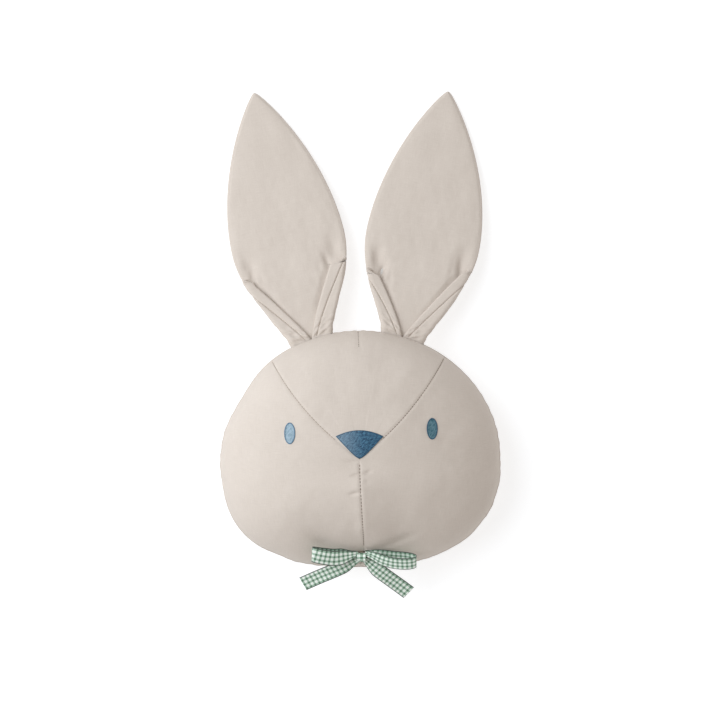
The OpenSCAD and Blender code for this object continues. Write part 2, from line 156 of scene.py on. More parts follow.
def mesh_object(name, corners, faces, uv=None):
    """A mesh from corners in millimetres; uv is cloth in millimetres, one pair a corner."""
    mesh = bpy.data.meshes.new(name)
    mesh.from_pydata((np.asarray(corners) * MM).tolist(), [], faces)
    mesh.update()
    bm = bmesh.new()
    bm.from_mesh(mesh)
    bmesh.ops.recalc_face_normals(bm, faces=bm.faces)
    bm.to_mesh(mesh)
    bm.free()
    mesh.polygons.foreach_set("use_smooth", np.ones(len(mesh.polygons), bool))
    if uv is not None:
        layer = mesh.uv_layers.new(name="cloth")
        index = np.zeros(len(mesh.loops), int)
        mesh.loops.foreach_get("vertex_index", index)
        layer.data.foreach_set("uv", (np.asarray(uv)[index] * MM).astype(np.float32).ravel())
    obj = bpy.data.objects.new(name, mesh)
    bpy.context.scene.collection.objects.link(obj)
    return obj


def grid_quads(rows, cols, ring, start=0):
    i, j = np.meshgrid(np.arange(rows - 1), np.arange(cols if ring else cols - 1), indexing="ij")
    k = (j + 1) % cols
    quads = [i * cols + j, i * cols + k, (i + 1) * cols + k, (i + 1) * cols + j]
    return (start + np.stack(quads, -1).reshape(-1, 4)).tolist()


def slab(name, top, under, uv, ring=False):
    """A closed sheet between two grids of points."""
    rows, cols = top.shape[:2]
    n = rows * cols
    faces = grid_quads(rows, cols, ring) + grid_quads(rows, cols, ring, n)
    across = range(cols if ring else cols - 1)
    for row in (0, (rows - 1) * cols):
        faces += [[row + j, row + (j + 1) % cols, n + row + (j + 1) % cols, n + row + j] for j in across]
    if not ring:
        for col in (0, cols - 1):
            side = [i * cols + col for i in range(rows)]
            faces += [[a, b, n + b, n + a] for a, b in zip(side, side[1:])]
    corners = np.concatenate([top.reshape(-1, 3), under.reshape(-1, 3)])
    flat = np.asarray(uv).reshape(-1, 2)
    return mesh_object(name, corners, faces, np.concatenate([flat, flat]))


def closed_tube(name, rings, uv=None):
    """A closed body through rings of points; its two ends are filled."""
    rows, cols = rings.shape[:2]
    faces = grid_quads(rows, cols, True)
    faces.append(list(range(cols)))
    faces.append([(rows - 1) * cols + j for j in range(cols)])
    flat = None if uv is None else np.asarray(uv).reshape(-1, 2)
    return mesh_object(name, rings.reshape(-1, 3), faces, flat)


def normals(grid):
    return unit(np.cross(np.gradient(grid, axis=0), np.gradient(grid, axis=1)))


def spaced(path, pitch, start=0.0, stop=0.0):
    """Places and directions at equal distances along a path of points."""
    step = np.linalg.norm(np.diff(path, axis=0), axis=1)
    total = np.concatenate([[0], np.cumsum(step)])
    at = np.arange(start, total[-1] - stop, pitch)

    def along(where):
        return np.stack([np.interp(where, total, path[:, k]) for k in range(path.shape[1])], -1)

    return along(at), unit((along(at + 0.2) - along(at - 0.2))[:, :3])


def stitches(name, centres, ways, ups, length, radius, sink=0.25):
    """One short thread per centre, lying along its way and diving into the cloth at both ends."""
    t = np.array([-1, -0.86, -0.5, 0, 0.5, 0.86, 1])
    thick = radius * np.array([0.35, 0.75, 1, 1.05, 1, 0.75, 0.35])
    sides = 6
    side = unit(np.cross(ways, ups))
    up = unit(np.cross(side, ways))
    turn = TAU * np.arange(sides) / sides
    count = len(centres)
    spine = centres[:, None] + ways[:, None] * (t[None, :, None] * length / 2)
    spine = spine - up[:, None] * (sink * t[None, :, None] ** 2)
    loop = side[:, None] * np.cos(turn)[None, :, None] + up[:, None] * np.sin(turn)[None, :, None]
    corners = spine[:, :, None] + loop[:, None] * thick[None, :, None, None]
    each = len(t) * sides
    faces = []
    for n in range(count):
        faces += grid_quads(len(t), sides, True, n * each)
        faces.append([n * each + j for j in range(sides)])
        faces.append([n * each + each - sides + j for j in range(sides)])
    return mesh_object(name, corners.reshape(-1, 3), faces)


# ---- Materials ----

class Shader:
    """A material's node tree, built a node at a time."""

    def __init__(self, name, roughness):
        self.material = bpy.data.materials.new(name)
        self.material.use_nodes = True
        self.tree = self.material.node_tree
        self.tree.nodes.clear()
        out = self.tree.nodes.new("ShaderNodeOutputMaterial")
        self.main = self.tree.nodes.new("ShaderNodeBsdfPrincipled")
        self.main.inputs["Roughness"].default_value = roughness
        self.tree.links.new(self.main.outputs[0], out.inputs["Surface"])

    def node(self, kind, inputs=(), **settings):
        made = self.tree.nodes.new(kind)
        for key, value in settings.items():
            setattr(made, key, value)
        for key, value in dict(inputs).items():
            self.put(made.inputs[key], value)
        return made

    def put(self, socket, value):
        if isinstance(value, bpy.types.NodeSocket):
            self.tree.links.new(value, socket)
        else:
            socket.default_value = value

    def math(self, operation, a, b=0.0, c=0.0):
        return self.node("ShaderNodeMath", {0: a, 1: b, 2: c}, operation=operation).outputs[0]

    def noise(self, where, scale, detail=2.0, rough=0.5):
        inputs = {"Vector": where, "Scale": scale, "Detail": detail, "Roughness": rough}
        return self.node("ShaderNodeTexNoise", inputs).outputs["Fac"]

    def stretched(self, where, x, y, z=1.0):
        return self.node("ShaderNodeMapping", {"Vector": where, "Scale": (x, y, z)}).outputs[0]

    def blend(self, share, a, b):
        made = self.node("ShaderNodeMix", data_type="RGBA")
        self.put(made.inputs["Factor"], share)
        self.put(made.inputs["A"], a)
        self.put(made.inputs["B"], b)
        return made.outputs["Result"]

    def ramp(self, value, low, high):
        inputs = {"Value": value, "From Min": low, "From Max": high}
        return self.node("ShaderNodeMapRange", inputs).outputs[0]

    def uv(self):
        return self.node("ShaderNodeTexCoord").outputs["UV"]

    def place(self):
        return self.node("ShaderNodeTexCoord").outputs["Object"]

    def colour(self, value):
        self.put(self.main.inputs["Base Color"], value)

    def bump(self, height, distance, strength=1.0):
        inputs = {"Height": height, "Distance": distance, "Strength": strength}
        self.put(self.main.inputs["Normal"], self.node("ShaderNodeBump", inputs).outputs[0])

    def specular(self, level):
        self.main.inputs["Specular IOR Level"].default_value = level

    def sheen(self, weight, roughness, tint):
        self.main.inputs["Sheen Weight"].default_value = weight
        self.main.inputs["Sheen Roughness"].default_value = roughness
        self.main.inputs["Sheen Tint"].default_value = tint


def rgb(r, g, b):
    return (r, g, b, 1.0)


def weave_of(m, where, pitch):
    """Height of a plain weave: warp and weft threads of this pitch crossing over and under."""
    parts = m.node("ShaderNodeSeparateXYZ", {0: where})
    turns = TAU / pitch
    u = m.math("MULTIPLY", parts.outputs[0], turns)
    v = m.math("MULTIPLY", parts.outputs[1], turns)
    wave = m.math("MULTIPLY", m.math("SINE", u), m.math("SINE", v))
    return m.math("MULTIPLY_ADD", wave, 0.5, 0.5)


def linen_material(name, light, dark):
    """Plain-woven linen: uneven warp and weft, soft mottling and a matt, faintly hairy face."""
    m = Shader(name, 0.9)
    uv = m.uv()
    warp = m.noise(m.stretched(uv, 1500.0, 90.0), 1.0, 3.0, 0.6)
    weft = m.noise(m.stretched(uv, 90.0, 1500.0), 1.0, 3.0, 0.6)
    slub = m.math("MULTIPLY_ADD", m.math("ADD", warp, weft), 0.5, 0.0)
    cloud = m.noise(uv, 22.0, 2.0)
    tone = m.math("MULTIPLY_ADD", cloud, 0.16, m.math("MULTIPLY", slub, 0.86))
    m.colour(m.blend(m.ramp(tone, 0.30, 0.72), dark, light))
    weave = weave_of(m, uv, 0.0008)
    height = m.math("MULTIPLY_ADD", slub, 0.9, m.math("MULTIPLY", weave, 0.55))
    m.bump(height, 0.00022, 0.8)
    m.specular(0.18)
    m.sheen(0.12, 0.5, (1.0, 0.97, 0.94, 1.0))
    return m.material


def fibre_material(name):
    """Loose white polyester fibre."""
    m = Shader(name, 0.85)
    where = m.place()
    hair = m.noise(m.stretched(where, 900.0, 260.0, 600.0), 1.0, 4.0, 0.65)
    clump = m.noise(where, 60.0, 3.0)
    m.colour(m.blend(m.math("MULTIPLY", hair, clump), rgb(0.62, 0.60, 0.57), rgb(0.93, 0.92, 0.90)))
    m.bump(m.math("ADD", hair, clump), 0.0012, 0.9)
    m.sheen(0.3, 0.6, (1.0, 1.0, 1.0, 1.0))
    return m.material


def thread_material(name, light, dark, gloss=0.5):
    """Twisted sewing thread."""
    m = Shader(name, gloss)
    where = m.place()
    twist = m.noise(m.stretched(where, 3200.0, 3200.0, 3200.0), 1.0, 2.0)
    tone = m.noise(where, 160.0, 2.0)
    m.colour(m.blend(m.ramp(m.math("MULTIPLY", twist, tone), 0.12, 0.42), dark, light))
    m.bump(twist, 0.00012, 0.8)
    return m.material


# Where the embroidery's painted highlight begins and where it is full, along x in metres: it lightens the
# stitching towards the left, where the light catches the thread.
HIGHLIGHT_FROM = 0.002
HIGHLIGHT_TO = -0.036


def embroidery_material(name, light, dark, highlight_colour):
    """Embroidery thread laid side by side: silky ridges, and a painted highlight: lighter stitches, more of
    them towards the left, where the light catches the thread.
    """
    m = Shader(name, 0.42)
    uv = m.uv()
    strand = m.noise(m.stretched(uv, 1500.0, 300.0), 1.0, 2.0, 0.6)
    patch = m.noise(m.stretched(uv, 900.0, 330.0), 1.0, 2.0, 0.6)
    tone = m.math("MULTIPLY_ADD", strand, 0.6, m.math("MULTIPLY", patch, 0.5))
    across = m.node("ShaderNodeSeparateXYZ", {0: m.place()}).outputs[0]
    # Painted highlight: a share that grows towards the left (lower x) and picks the lighter stitches, which
    # are blended towards the highlight colour.
    painted_highlight = m.math("MULTIPLY", m.ramp(across, HIGHLIGHT_FROM, HIGHLIGHT_TO), m.ramp(tone, 0.25, 0.6))
    cloth = m.blend(m.ramp(tone, 0.42, 0.68), dark, light)
    m.colour(m.blend(m.math("MULTIPLY", painted_highlight, 0.75), cloth, highlight_colour))
    m.bump(m.math("ADD", strand, patch), 0.0003, 0.9)
    m.put(m.main.inputs["Roughness"], m.ramp(patch, -0.7, 1.8))
    m.specular(0.3)
    m.sheen(0.05, 0.3, (0.75, 0.88, 1.0, 1.0))
    return m.material


RIBBON_W = 15.4
CHECK = 4.75


def gingham_material(name):
    """Woven gingham: white and green stripes both ways, a mid green where one green crosses white."""
    m = Shader(name, 0.62)
    uv = m.uv()
    parts = m.node("ShaderNodeSeparateXYZ", {0: uv})
    turns = TAU / (CHECK * MM)
    along = m.math("SINE", m.math("MULTIPLY", parts.outputs[0], turns))
    across = m.math("SINE", m.math("MULTIPLY", parts.outputs[1], turns))
    first = m.ramp(along, 0.0, 0.4)
    second = m.ramp(across, 0.0, 0.4)
    both = m.math("MULTIPLY", m.math("ADD", first, second), 0.5)
    white = rgb(0.86, 0.90, 0.85)
    mid = rgb(0.33, 0.50, 0.38)
    dark = rgb(0.035, 0.125, 0.055)
    cloth = m.blend(m.ramp(both, 0.0, 0.5), white, mid)
    cloth = m.blend(m.ramp(both, 0.5, 1.0), cloth, dark)
    edge = m.math("ABSOLUTE", parts.outputs[1])
    selvedge = m.ramp(edge, (RIBBON_W / 2 - 0.95) * MM, (RIBBON_W / 2 - 0.75) * MM)
    cloth = m.blend(selvedge, cloth, rgb(0.008, 0.022, 0.013))
    speck = m.noise(m.stretched(uv, 3800.0, 3800.0), 1.0, 2.0)
    cloth = m.blend(m.ramp(speck, 0.3, 2.4), cloth, rgb(0.85, 0.9, 0.85))
    m.colour(cloth)
    weave = weave_of(m, uv, 0.00046)
    m.bump(m.math("ADD", weave, m.math("MULTIPLY", speck, 0.5)), 0.0001, 0.7)
    m.specular(0.3)
    m.sheen(0.15, 0.4, (0.9, 1.0, 0.93, 1.0))
    return m.material


def floor_material():
    """Pale studio paper."""
    m = Shader("studio_paper", 0.95)
    grain = m.noise(m.place(), 900.0, 2.0)
    m.colour(m.blend(grain, rgb(0.545, 0.56, 0.58), rgb(0.575, 0.59, 0.61)))
    m.specular(0.1)
    m.main.inputs["Emission Color"].default_value = (1.0, 1.0, 1.0, 1.0)
    m.main.inputs["Emission Strength"].default_value = 0.62
    return m.material


# A finish is a material and the record's slot that it belongs to
LINEN = linen_material("linen", rgb(0.70, 0.632, 0.572), rgb(0.60, 0.533, 0.472)), "linen"
FIBRE = fibre_material("wadding"), "wadding"
BEIGE = thread_material("beige_thread", rgb(0.46, 0.38, 0.30), rgb(0.28, 0.22, 0.16)), "beige_thread"
# A darker copy of the beige thread: painted shade for the right brow seam, on the face's shaded right side.
BEIGE_SHADED = thread_material("seam_thread", rgb(0.26, 0.18, 0.13), rgb(0.15, 0.10, 0.07)), "beige_thread"
BROWN = thread_material("brown_thread", rgb(0.20, 0.13, 0.09), rgb(0.09, 0.055, 0.035)), "brown_thread"
# Each blue's third colour is its painted highlight, laid on the stitching towards the left, where the light
# catches the thread; it lights the whole left eye.
BLUE = (
    embroidery_material(
        "blue_stitching", rgb(0.080, 0.215, 0.335), rgb(0.003, 0.030, 0.080), rgb(0.42, 0.55, 0.66)
    ),
    "blue_stitching",
)
EYE_BLUE = (
    embroidery_material(
        "eye_stitching", rgb(0.15, 0.28, 0.34), rgb(0.03, 0.11, 0.15), rgb(0.42, 0.54, 0.64)
    ),
    "blue_stitching",
)
BLUE_EDGE = (
    embroidery_material(
        "blue_outline", rgb(0.06, 0.15, 0.23), rgb(0.02, 0.06, 0.11), rgb(0.14, 0.26, 0.38)
    ),
    "blue_outline",
)
GINGHAM = gingham_material("gingham_ribbon"), "gingham_ribbon"


def dress(obj, finish, nodes):
    material, slot = finish
    obj.data.materials.append(material)
    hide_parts(*nodes)


def place_piece(obj, finish, body, *nodes):
    dress(obj, finish, nodes)
    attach(obj, body)


def place_bending(obj, finish, ear, *nodes):
    """A piece of an ear: its finish is put on, its CAD parts hidden and its placement baked into its
    points.
    """
    dress(obj, finish, nodes)
    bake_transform(obj)


# ---- Head surface ----

def uneven(a):
    """The stuffing sits lower in the left cheek: its outline is slimmer above and fuller below."""
    at = np.degrees(a % TAU)
    return -3.8 * bell(at - 153, 13) + 4.4 * bell(at - 214, 15) + 2.2 * bell(at - 239, 12)


def rim_radius(a, inset=0.0):
    upper = np.sin(a) > 0
    tall = np.where(upper, CROWN, CHIN) - inset
    power = np.where(upper, 2.0, CHIN_POWER)
    half = HEAD_HALF - inset
    total = (np.abs(np.cos(a)) / half) ** power + (np.abs(np.sin(a)) / tall) ** power
    return total ** (-1 / power) + uneven(a)


def dome(s):
    return np.sqrt(np.maximum(0, 1 - np.minimum(s, 1) ** DOME_POWER))


def chin_drift(s):
    """How far the chin seam wanders to the right on its way down."""
    return CHIN_DRIFT * ease(s / 0.9) * ease((1 - s) / 0.15)


def face_plan(s, a, inset=0.0):
    """Plan place at share s of the way out, on lines that bow with the brow seams."""
    r = s * rim_radius(a, inset)
    bow = -4 * s * (1 - s) * BROW_BEND * np.cos(a)
    drift = chin_drift(s) * ease((-np.sin(a) - 0.2) / 0.8)
    still = 1 - s ** 2
    x = r * np.cos(a) - bow * np.sin(a) + drift + SEAMS_MEET[0] * still
    return x, r * np.sin(a) + bow * np.cos(a) + SEAMS_MEET[1] * still


def from_seam(x, y, s, a):
    """Sideways distance from the seam at angle a, towards greater angles, and whether it lies ahead."""
    sx, sy = face_plan(s, a)
    away = (x - sx) * -math.sin(a) + (y - sy) * math.cos(a)
    ahead = x * math.cos(a) + y * math.sin(a)
    return away, ease(ahead / 12)


TUCK = (KNOT[0], KNOT[1] + 1)
TUCK_DEPTH = 12
HOLLOW_DEPTH = 7
LEFT_HOLLOW_SHARE = 1.4
HOLLOW_R = 20
LEFT_HOLLOW = (-37, -82)
RIGHT_HOLLOW = (41, -81)
KEEL = 9.5
KEEL_W = 40
stuffing = field(3, 14, 34, 80)
faint_folds = field(8, 16, 13, 30)


def dip(x, y, centre, radius):
    return np.exp(-((x - centre[0]) ** 2 + (y - centre[1]) ** 2) / radius ** 2)


def pulled(x, y):
    """How deep the bow's stitches draw the face in: a tuck, two hollows, a pit and a slot."""
    hollows = LEFT_HOLLOW_SHARE * dip(x, y, LEFT_HOLLOW, HOLLOW_R) + dip(x, y, RIGHT_HOLLOW, HOLLOW_R)
    pit = 3.5 * dip(x, y, (KNOT[0], KNOT[1] + 6), 6.5)
    slot = np.exp(-((x - KNOT[0] - 1.5) / 7.0) ** 4) * bell(y - KNOT[1] - 5.0, 1.5)
    pit = pit + 8.0 * slot
    return TUCK_DEPTH * dip(x, y, TUCK, 24) + HOLLOW_DEPTH * hollows + pit


def brow_ridge(x, y, s, seam, height, width):
    away, side = from_seam(x, y, s, seam)
    return height * np.exp(-np.abs(away) / width) * side * ease(s / 0.3) * ease((1 - s) / 0.25)


def ridges(x, y, s):
    """The face panels meet in low ridges: a clear one down the muzzle, fainter ones along the brows."""
    off = x - chin_drift(-y / CHIN)
    chin = KEEL * np.exp(-np.abs(off) / KEEL_W) * ease(-y / 30) * ease((CHIN + y - 6) / 34)
    right = brow_ridge(x, y, s, RIGHT_BROW, 2.6, 20)
    left = brow_ridge(x, y, s, LEFT_BROW, 0.7, 18)
    lean = -0.07 * x * np.maximum(0, 1 - s ** 2)
    return chin + right + left + lean


def crease(x, y, start, end, width, depth):
    """A soft furrow between two plan points, fading at both ends."""
    dx, dy = end[0] - start[0], end[1] - start[1]
    size = math.hypot(dx, dy)
    t = ((x - start[0]) * dx + (y - start[1]) * dy) / size ** 2
    d = ((x - start[0]) * -dy + (y - start[1]) * dx) / size
    fade = ease(t / 0.5) * ease((1 - t) / 0.5)
    return -depth * fade * bell(d, width)


# Start, end, width and depth of each furrow
SMALL_CREASES = (
    ((4, -13.6), (-14, -16), 1.5, 1.8),
    ((-3, -17), (15, -8.5), 1.6, 1.9),
    ((5, -30.5), (-16, -34.5), 1.9, 1.6),
    ((2, -1.5), (-20, -2), 2.2, 0.7),
    ((0, -25), (12, -20), 2.0, 0.5),
)
DRAG_FOLDS = (
    ((-2, -94), (-58, -74), 3.4, 2.4),
    ((2, -93), (66, -70), 4.4, 3.0),
    ((-4, -96), (-44, -93), 2.6, 1.0),
)


def furrows(x, y):
    """Drag lines beside the top of the chin seam, and longer folds that the bow's tack stitches draw."""
    small = sum(crease(x, y, *line) for line in SMALL_CREASES)
    return small + sum(crease(x, y, *line) for line in DRAG_FOLDS)


def ear_gate(a):
    """1 where an ear's root is sewn into the perimeter seam, 0 elsewhere."""
    total = 0
    for ear in EARS:
        off = np.abs((a - ear.angle + math.pi) % TAU - math.pi)
        total = total + 1 - ease((off - ear.half_angle) / math.radians(2.6))
    return total


FACE_LIFT = 4.7
BACK_LIFT = 4.9


def face_height(x, y, inset=0.0):
    a = np.arctan2(y, x)
    s = np.hypot(x, y) / rim_radius(a, inset)
    lift = FACE_LIFT * ear_gate(a)
    z = RIM_Z + RIM_GAP + np.hypot((FACE_RISE - RIM_GAP - inset) * dome(s), lift)
    inside = ease(12 * (1 - s))
    z = z - pulled(x, y) * inside + ridges(x, y, s)
    loose = ease(5 * (1 - s)) * (0.25 + 0.75 * ease((s - 0.25) / 0.4))
    z = z + loose * (0.42 * stuffing(x, y) + 0.12 * faint_folds(x, y))
    return z + furrows(x, y) * inside


def pucker(a, drop):
    """The perimeter seam gathers the cloth in small uneven puckers."""
    run = a * 128
    beat = np.sin(TAU * run / 11 + 2.2 * np.sin(run / 37) + 1.4 * np.sin(run / 17 + 1))
    strength = 0.5 + 0.5 * np.sin(run / 29 + 0.7)
    slow = np.sin(run / 6.1 + 1.3 * np.sin(run / 23 + 2)) + 0.7 * np.sin(run / 11.3 + 0.5)
    low = ease((0.55 - np.sin(a)) / 0.8)
    return (0.42 * beat * strength + 0.5 * slow * low) * np.exp(-np.abs(drop) / 9)


def drawn_in(a, drop):
    """How far the perimeter seam pulls the cloth towards the middle, at a height off the seam."""
    return 1.25 * np.exp(-np.abs(drop) / 2.1) + pucker(a, drop)


def to_rim(x, y, z, a):
    """Pulls plan points near the perimeter in by the seam."""
    r = np.hypot(x, y)
    k = (r - drawn_in(a, z - RIM_Z)) / np.maximum(r, 1e-6)
    near = ease((r - 40) / 40)
    k = mix(1, k, near)
    return points(x * k, y * k, z)


BROW_GROOVE = 0.6
CHIN_GROOVE = 0.8
NOSE_MIDDLE = 17.0
DART_TOP = (-2.5, 127.0)
DART_END = (-1.7, 112.5)
DART_DEEP = 0.7


def seam_groove(seam):
    return CHIN_GROOVE if math.sin(seam) < 0 else BROW_GROOVE


def on_ring(r, a, z):
    """Points at radius r and angle a."""
    return points(r * np.cos(a), r * np.sin(a), z)


def groove(distance, depth):
    """Cross-section of a seam: the cloth rolls down to the stitches, with a faint swell beside them."""
    return -depth * bell(distance, 1.5) + 0.2 * depth * bell(distance - 4.2, 2.4)


def dart_groove(x, y):
    """The valley of the short dart in the crown, with a small dimple at its end."""
    line = np.interp(y, [DART_END[1], DART_TOP[1]], [DART_END[0], DART_TOP[0]])
    valley = groove(np.abs(x - line), DART_DEEP) * ease((y - DART_END[1] + 1.5) / 4)
    return valley - 0.5 * dip(x, y, (DART_END[0], DART_END[1] - 1.5), 4)


def seam_step(low, high, fine, coarse, growth=1.16):
    """Angles between two seams, close together beside each of them."""
    steps = []
    size = fine
    while size < coarse and 2 * (sum(steps) + size) < high - low:
        steps.append(size)
        size *= growth
    edge = np.concatenate([[0], np.cumsum(steps)])
    middle_span = (high - low) - 2 * edge[-1]
    count = max(2, int(round(middle_span / coarse)))
    inner = np.linspace(low + edge[-1], high - edge[-1], count + 1)
    return np.concatenate([low + edge[:-1], inner, (high - edge[:-1])[::-1]])


def ring_levels(count, first=0.005):
    return np.maximum(first, np.sin(np.linspace(0, math.pi / 2, count)))


def arc_uv(grid, a):
    """Cloth coordinates: distance along the surface from the middle, laid out by angle."""
    step = np.linalg.norm(np.diff(grid, axis=0), axis=2)
    run = np.concatenate([np.hypot(grid[:1, :, 0], grid[:1, :, 1]), step]).cumsum(0)
    return np.stack([run * np.cos(a), run * np.sin(a)], -1)


def face_panel(name, a_low, a_high):
    gap = 0.0006
    a = seam_step(a_low + gap, a_high - gap, math.radians(0.2), math.radians(0.85))[None, :]
    s = ring_levels(150)[:, None]
    x, y = face_plan(s, a)
    z = face_height(x, y)
    for seam in (a_low, a_high):
        sx, sy = face_plan(s, seam)
        z = z + groove(np.hypot(x - sx, y - sy), seam_groove(seam)) * ease(s / 0.08) * ease((1 - s) / 0.01)
    z = z + dart_groove(x, y) * ease((1 - s) / 0.01)
    top = to_rim(x, y, z, a)
    top = top + swell_of("face", s, a) * swell_gate(x, y, s)[..., None]
    up = normals(top)
    up = up * np.sign(up[..., 2:3] + 1e-9)
    under = top - up * CLOTH_T
    return slab(name, top, under, arc_uv(top, a))


def back_height(s, a):
    gate = ear_gate(a)
    hang = (RIM_Z - RIM_GAP) * BACK_SAG * dome(s)
    return RIM_Z - RIM_GAP - np.hypot(hang, BACK_LIFT * gate)


def back_panel():
    a = np.linspace(0, TAU, 420, endpoint=False)[None, :]
    sides = np.sin(np.linspace(math.asin(FLAT_S), math.pi / 2, 74))
    s = np.concatenate([np.linspace(0.01, FLAT_S, 30)[:-1], sides])
    s = s[:, None]
    r = s * rim_radius(a)
    x, y = r * np.cos(a), r * np.sin(a)
    z = back_height(s, a)
    z = z + ease(4 * (1 - s)) * ease((s - FLAT_S) / 0.2) * 0.5 * stuffing(x + 500, y)
    z = 0.15 + np.log1p(np.exp((z - 0.15) * 2.2)) / 2.2
    top = to_rim(x, y, z, a)
    top = top + swell_of("back", s, a) * (ease((1 - s) / 0.03) * ease((s - FLAT_S) / 0.15))[..., None]
    top[..., 2] = np.maximum(top[..., 2], 0.12)
    inward = normals(top)
    inward = inward * np.sign(inward[..., 2:3] + 1e-9)
    under = top + inward * CLOTH_T
    return slab("back_panel_cloth", top, under, arc_uv(top, a), ring=True)


def swell_of(part, s, a):
    """How far the cloth simulation moved the panel at these places."""
    grid = SWELL.get(part)
    shape = np.broadcast(s, a).shape
    if grid is None:
        return np.zeros(shape + (3,))
    levels, moved = grid
    return smooth_lookup(levels, moved, np.broadcast_to(s, shape), np.broadcast_to(a, shape))


def spline_weights(t):
    """Cubic B-spline weights of four neighbours."""
    second = (3 * t ** 3 - 6 * t ** 2 + 4) / 6
    third = (-3 * t ** 3 + 3 * t ** 2 + 3 * t + 1) / 6
    return (1 - t) ** 3 / 6, second, third, t ** 3 / 6


def smooth_lookup(levels, moved, s, a):
    rows, cols = moved.shape[:2]
    row = np.interp(s, levels, np.arange(rows))
    col = (a % TAU) / TAU * cols
    i, j = np.floor(row).astype(int), np.floor(col).astype(int)
    wi, wj = spline_weights(row - i), spline_weights(col - j)
    total = np.zeros(s.shape + (3,))
    for p in range(4):
        for q in range(4):
            near = moved[np.clip(i + p - 1, 0, rows - 1), (j + q - 1) % cols]
            total += near * (wi[p] * wj[q])[..., None]
    return total


SWELL_COLS = 144
FACE_ROWS = 34
BACK_ROWS = 20
SWELL_FRAMES = 20
SWELL_PRESSURE = 4.0
SWELL_CAP = 3.0
SWELL = {}


def swell_gate(x, y, s):
    """1 where the simulated cloth may move the face, 0 at seams, embroidery, dart, bow and perimeter."""
    gate = ease((1 - s) / 0.08) * ease((np.hypot(x, (y - NOSE_MIDDLE) * 1.15) - 25) / 14)
    for side in ("left", "right"):
        cx, cy = middle(side + "_eye_border")[:2]
        gate = gate * ease((np.hypot(x - cx, y - cy) - 11) / 10)
    gate = gate * ease((np.hypot(x - DART_END[0], y - (DART_TOP[1] + DART_END[1]) / 2) - 9) / 8)
    gate = gate * ease((np.hypot((x - KNOT[0]) / 3.2, y - KNOT[1]) - 15) / 10)
    for seam in (RIGHT_BROW, LEFT_BROW, CHIN_SEAM):
        sx, sy = face_plan(s, seam)
        gate = gate * ease((np.hypot(x - sx, y - sy) - 1.0) / 9)
    return gate


def swell_mesh():
    """A coarse closed mesh of the head for the simulation: rings from the nose round to the back."""
    a = (TAU * np.arange(SWELL_COLS) / SWELL_COLS)[None, :]
    s = np.sin(np.linspace(0.05, 1, FACE_ROWS) * math.pi / 2)[:, None]
    x, y = face_plan(s, a)
    face = to_rim(x, y, face_height(x, y), a)
    hold = 1 - swell_gate(x, y, s)
    back_s = np.sin(np.linspace(math.asin(FLAT_S), math.pi / 2, BACK_ROWS))[:, None]
    r = back_s * rim_radius(a)
    back = to_rim(r * np.cos(a), r * np.sin(a), back_height(back_s, a), a)
    back_hold = 1 - ease((1 - back_s) / 0.06) * ease((back_s - FLAT_S) / 0.12) + 0 * a
    rings = np.concatenate([face, back[-2::-1]])
    return s[:, 0], back_s[:, 0], rings, np.concatenate([hold, back_hold[-2::-1]])


def simulate_swell():
    """Cloth simulation: the filling presses the linen outward, while its seams and the floor hold it."""
    face_s, back_s, rings, hold = swell_mesh()
    count = rings.shape[0] * rings.shape[1]
    ends = [rings[0].mean(0), rings[-1].mean(0)]
    faces = grid_quads(len(rings), SWELL_COLS, True)
    for j in range(SWELL_COLS):
        k = (j + 1) % SWELL_COLS
        faces.append([j, k, count])
        faces.append([count - SWELL_COLS + j, count - SWELL_COLS + k, count + 1])
    body = mesh_object("swelling_head", np.concatenate([rings.reshape(-1, 3), ends]), faces)
    pins = body.vertex_groups.new(name="held")
    for n, weight in enumerate(np.concatenate([hold.ravel(), [1.0, 1.0]])):
        pins.add([n], float(weight), "REPLACE")
    cloth = body.modifiers.new("swell", "CLOTH")
    cloth.settings.quality = 6
    cloth.settings.vertex_group_mass = "held"
    cloth.settings.use_pressure = True
    cloth.settings.uniform_pressure_force = SWELL_PRESSURE
    cloth.settings.effector_weights.gravity = 0
    cloth.point_cache.frame_start = 1
    cloth.point_cache.frame_end = SWELL_FRAMES
    for number in range(1, SWELL_FRAMES + 1):
        bpy.context.scene.frame_set(number)
    seen = body.evaluated_get(bpy.context.evaluated_depsgraph_get())
    end = np.zeros(len(seen.data.vertices) * 3)
    seen.data.vertices.foreach_get("co", end)
    end = end.reshape(-1, 3)[:count].reshape(rings.shape) / MM
    bpy.data.objects.remove(body)
    bpy.context.scene.frame_set(1)
    ring = np.concatenate([rings, rings[:, :1]], 1)
    out = normals(ring)[:, :-1]
    middle_z = np.array([0, 0, RIM_Z])
    out = out * np.sign(((rings - middle_z) * out).sum(-1, keepdims=True))
    push = ((end - rings) * out).sum(-1, keepdims=True)
    push = SWELL_CAP * np.tanh(np.clip(push, -1.0, None) / SWELL_CAP)
    moved = out * push
    SWELL["face"] = (face_s, moved[:FACE_ROWS])
    SWELL["back"] = (back_s, moved[FACE_ROWS - 1:][::-1])


# ---- Ears ----

class Ear:
    """The facts of one ear: root, lean, length, sideways bow, and for each side its folded margin's top."""

    def __init__(self, side, lean, length, tops, sway):
        joint = JOINTS[side + "_ear_fold"]
        self.side = side
        self.body = side + "_ear"
        self.lean = math.radians(lean)
        self.length = length
        self.tops = tops
        self.sway = sway
        self.axis = np.array([math.sin(self.lean), math.cos(self.lean)])
        hinge = np.array(joint["pos_m"][:2]) / MM
        self.root = hinge - self.axis * HINGE_U
        seam_way = np.array(joint["axis"][:2])
        self.seam_a = math.atan2(seam_way[1], seam_way[0])
        self.angle = math.atan2(self.root[1], self.root[0])
        self.half_angle = 20.5 / np.linalg.norm(self.root)
        self.still_to = self.in_frame(0.6)
        self.turns_from = self.in_frame(13.0)

    def in_frame(self, u):
        p = self.root + self.axis * u
        return (p[0] * MM, p[1] * MM, RIM_Z * MM)


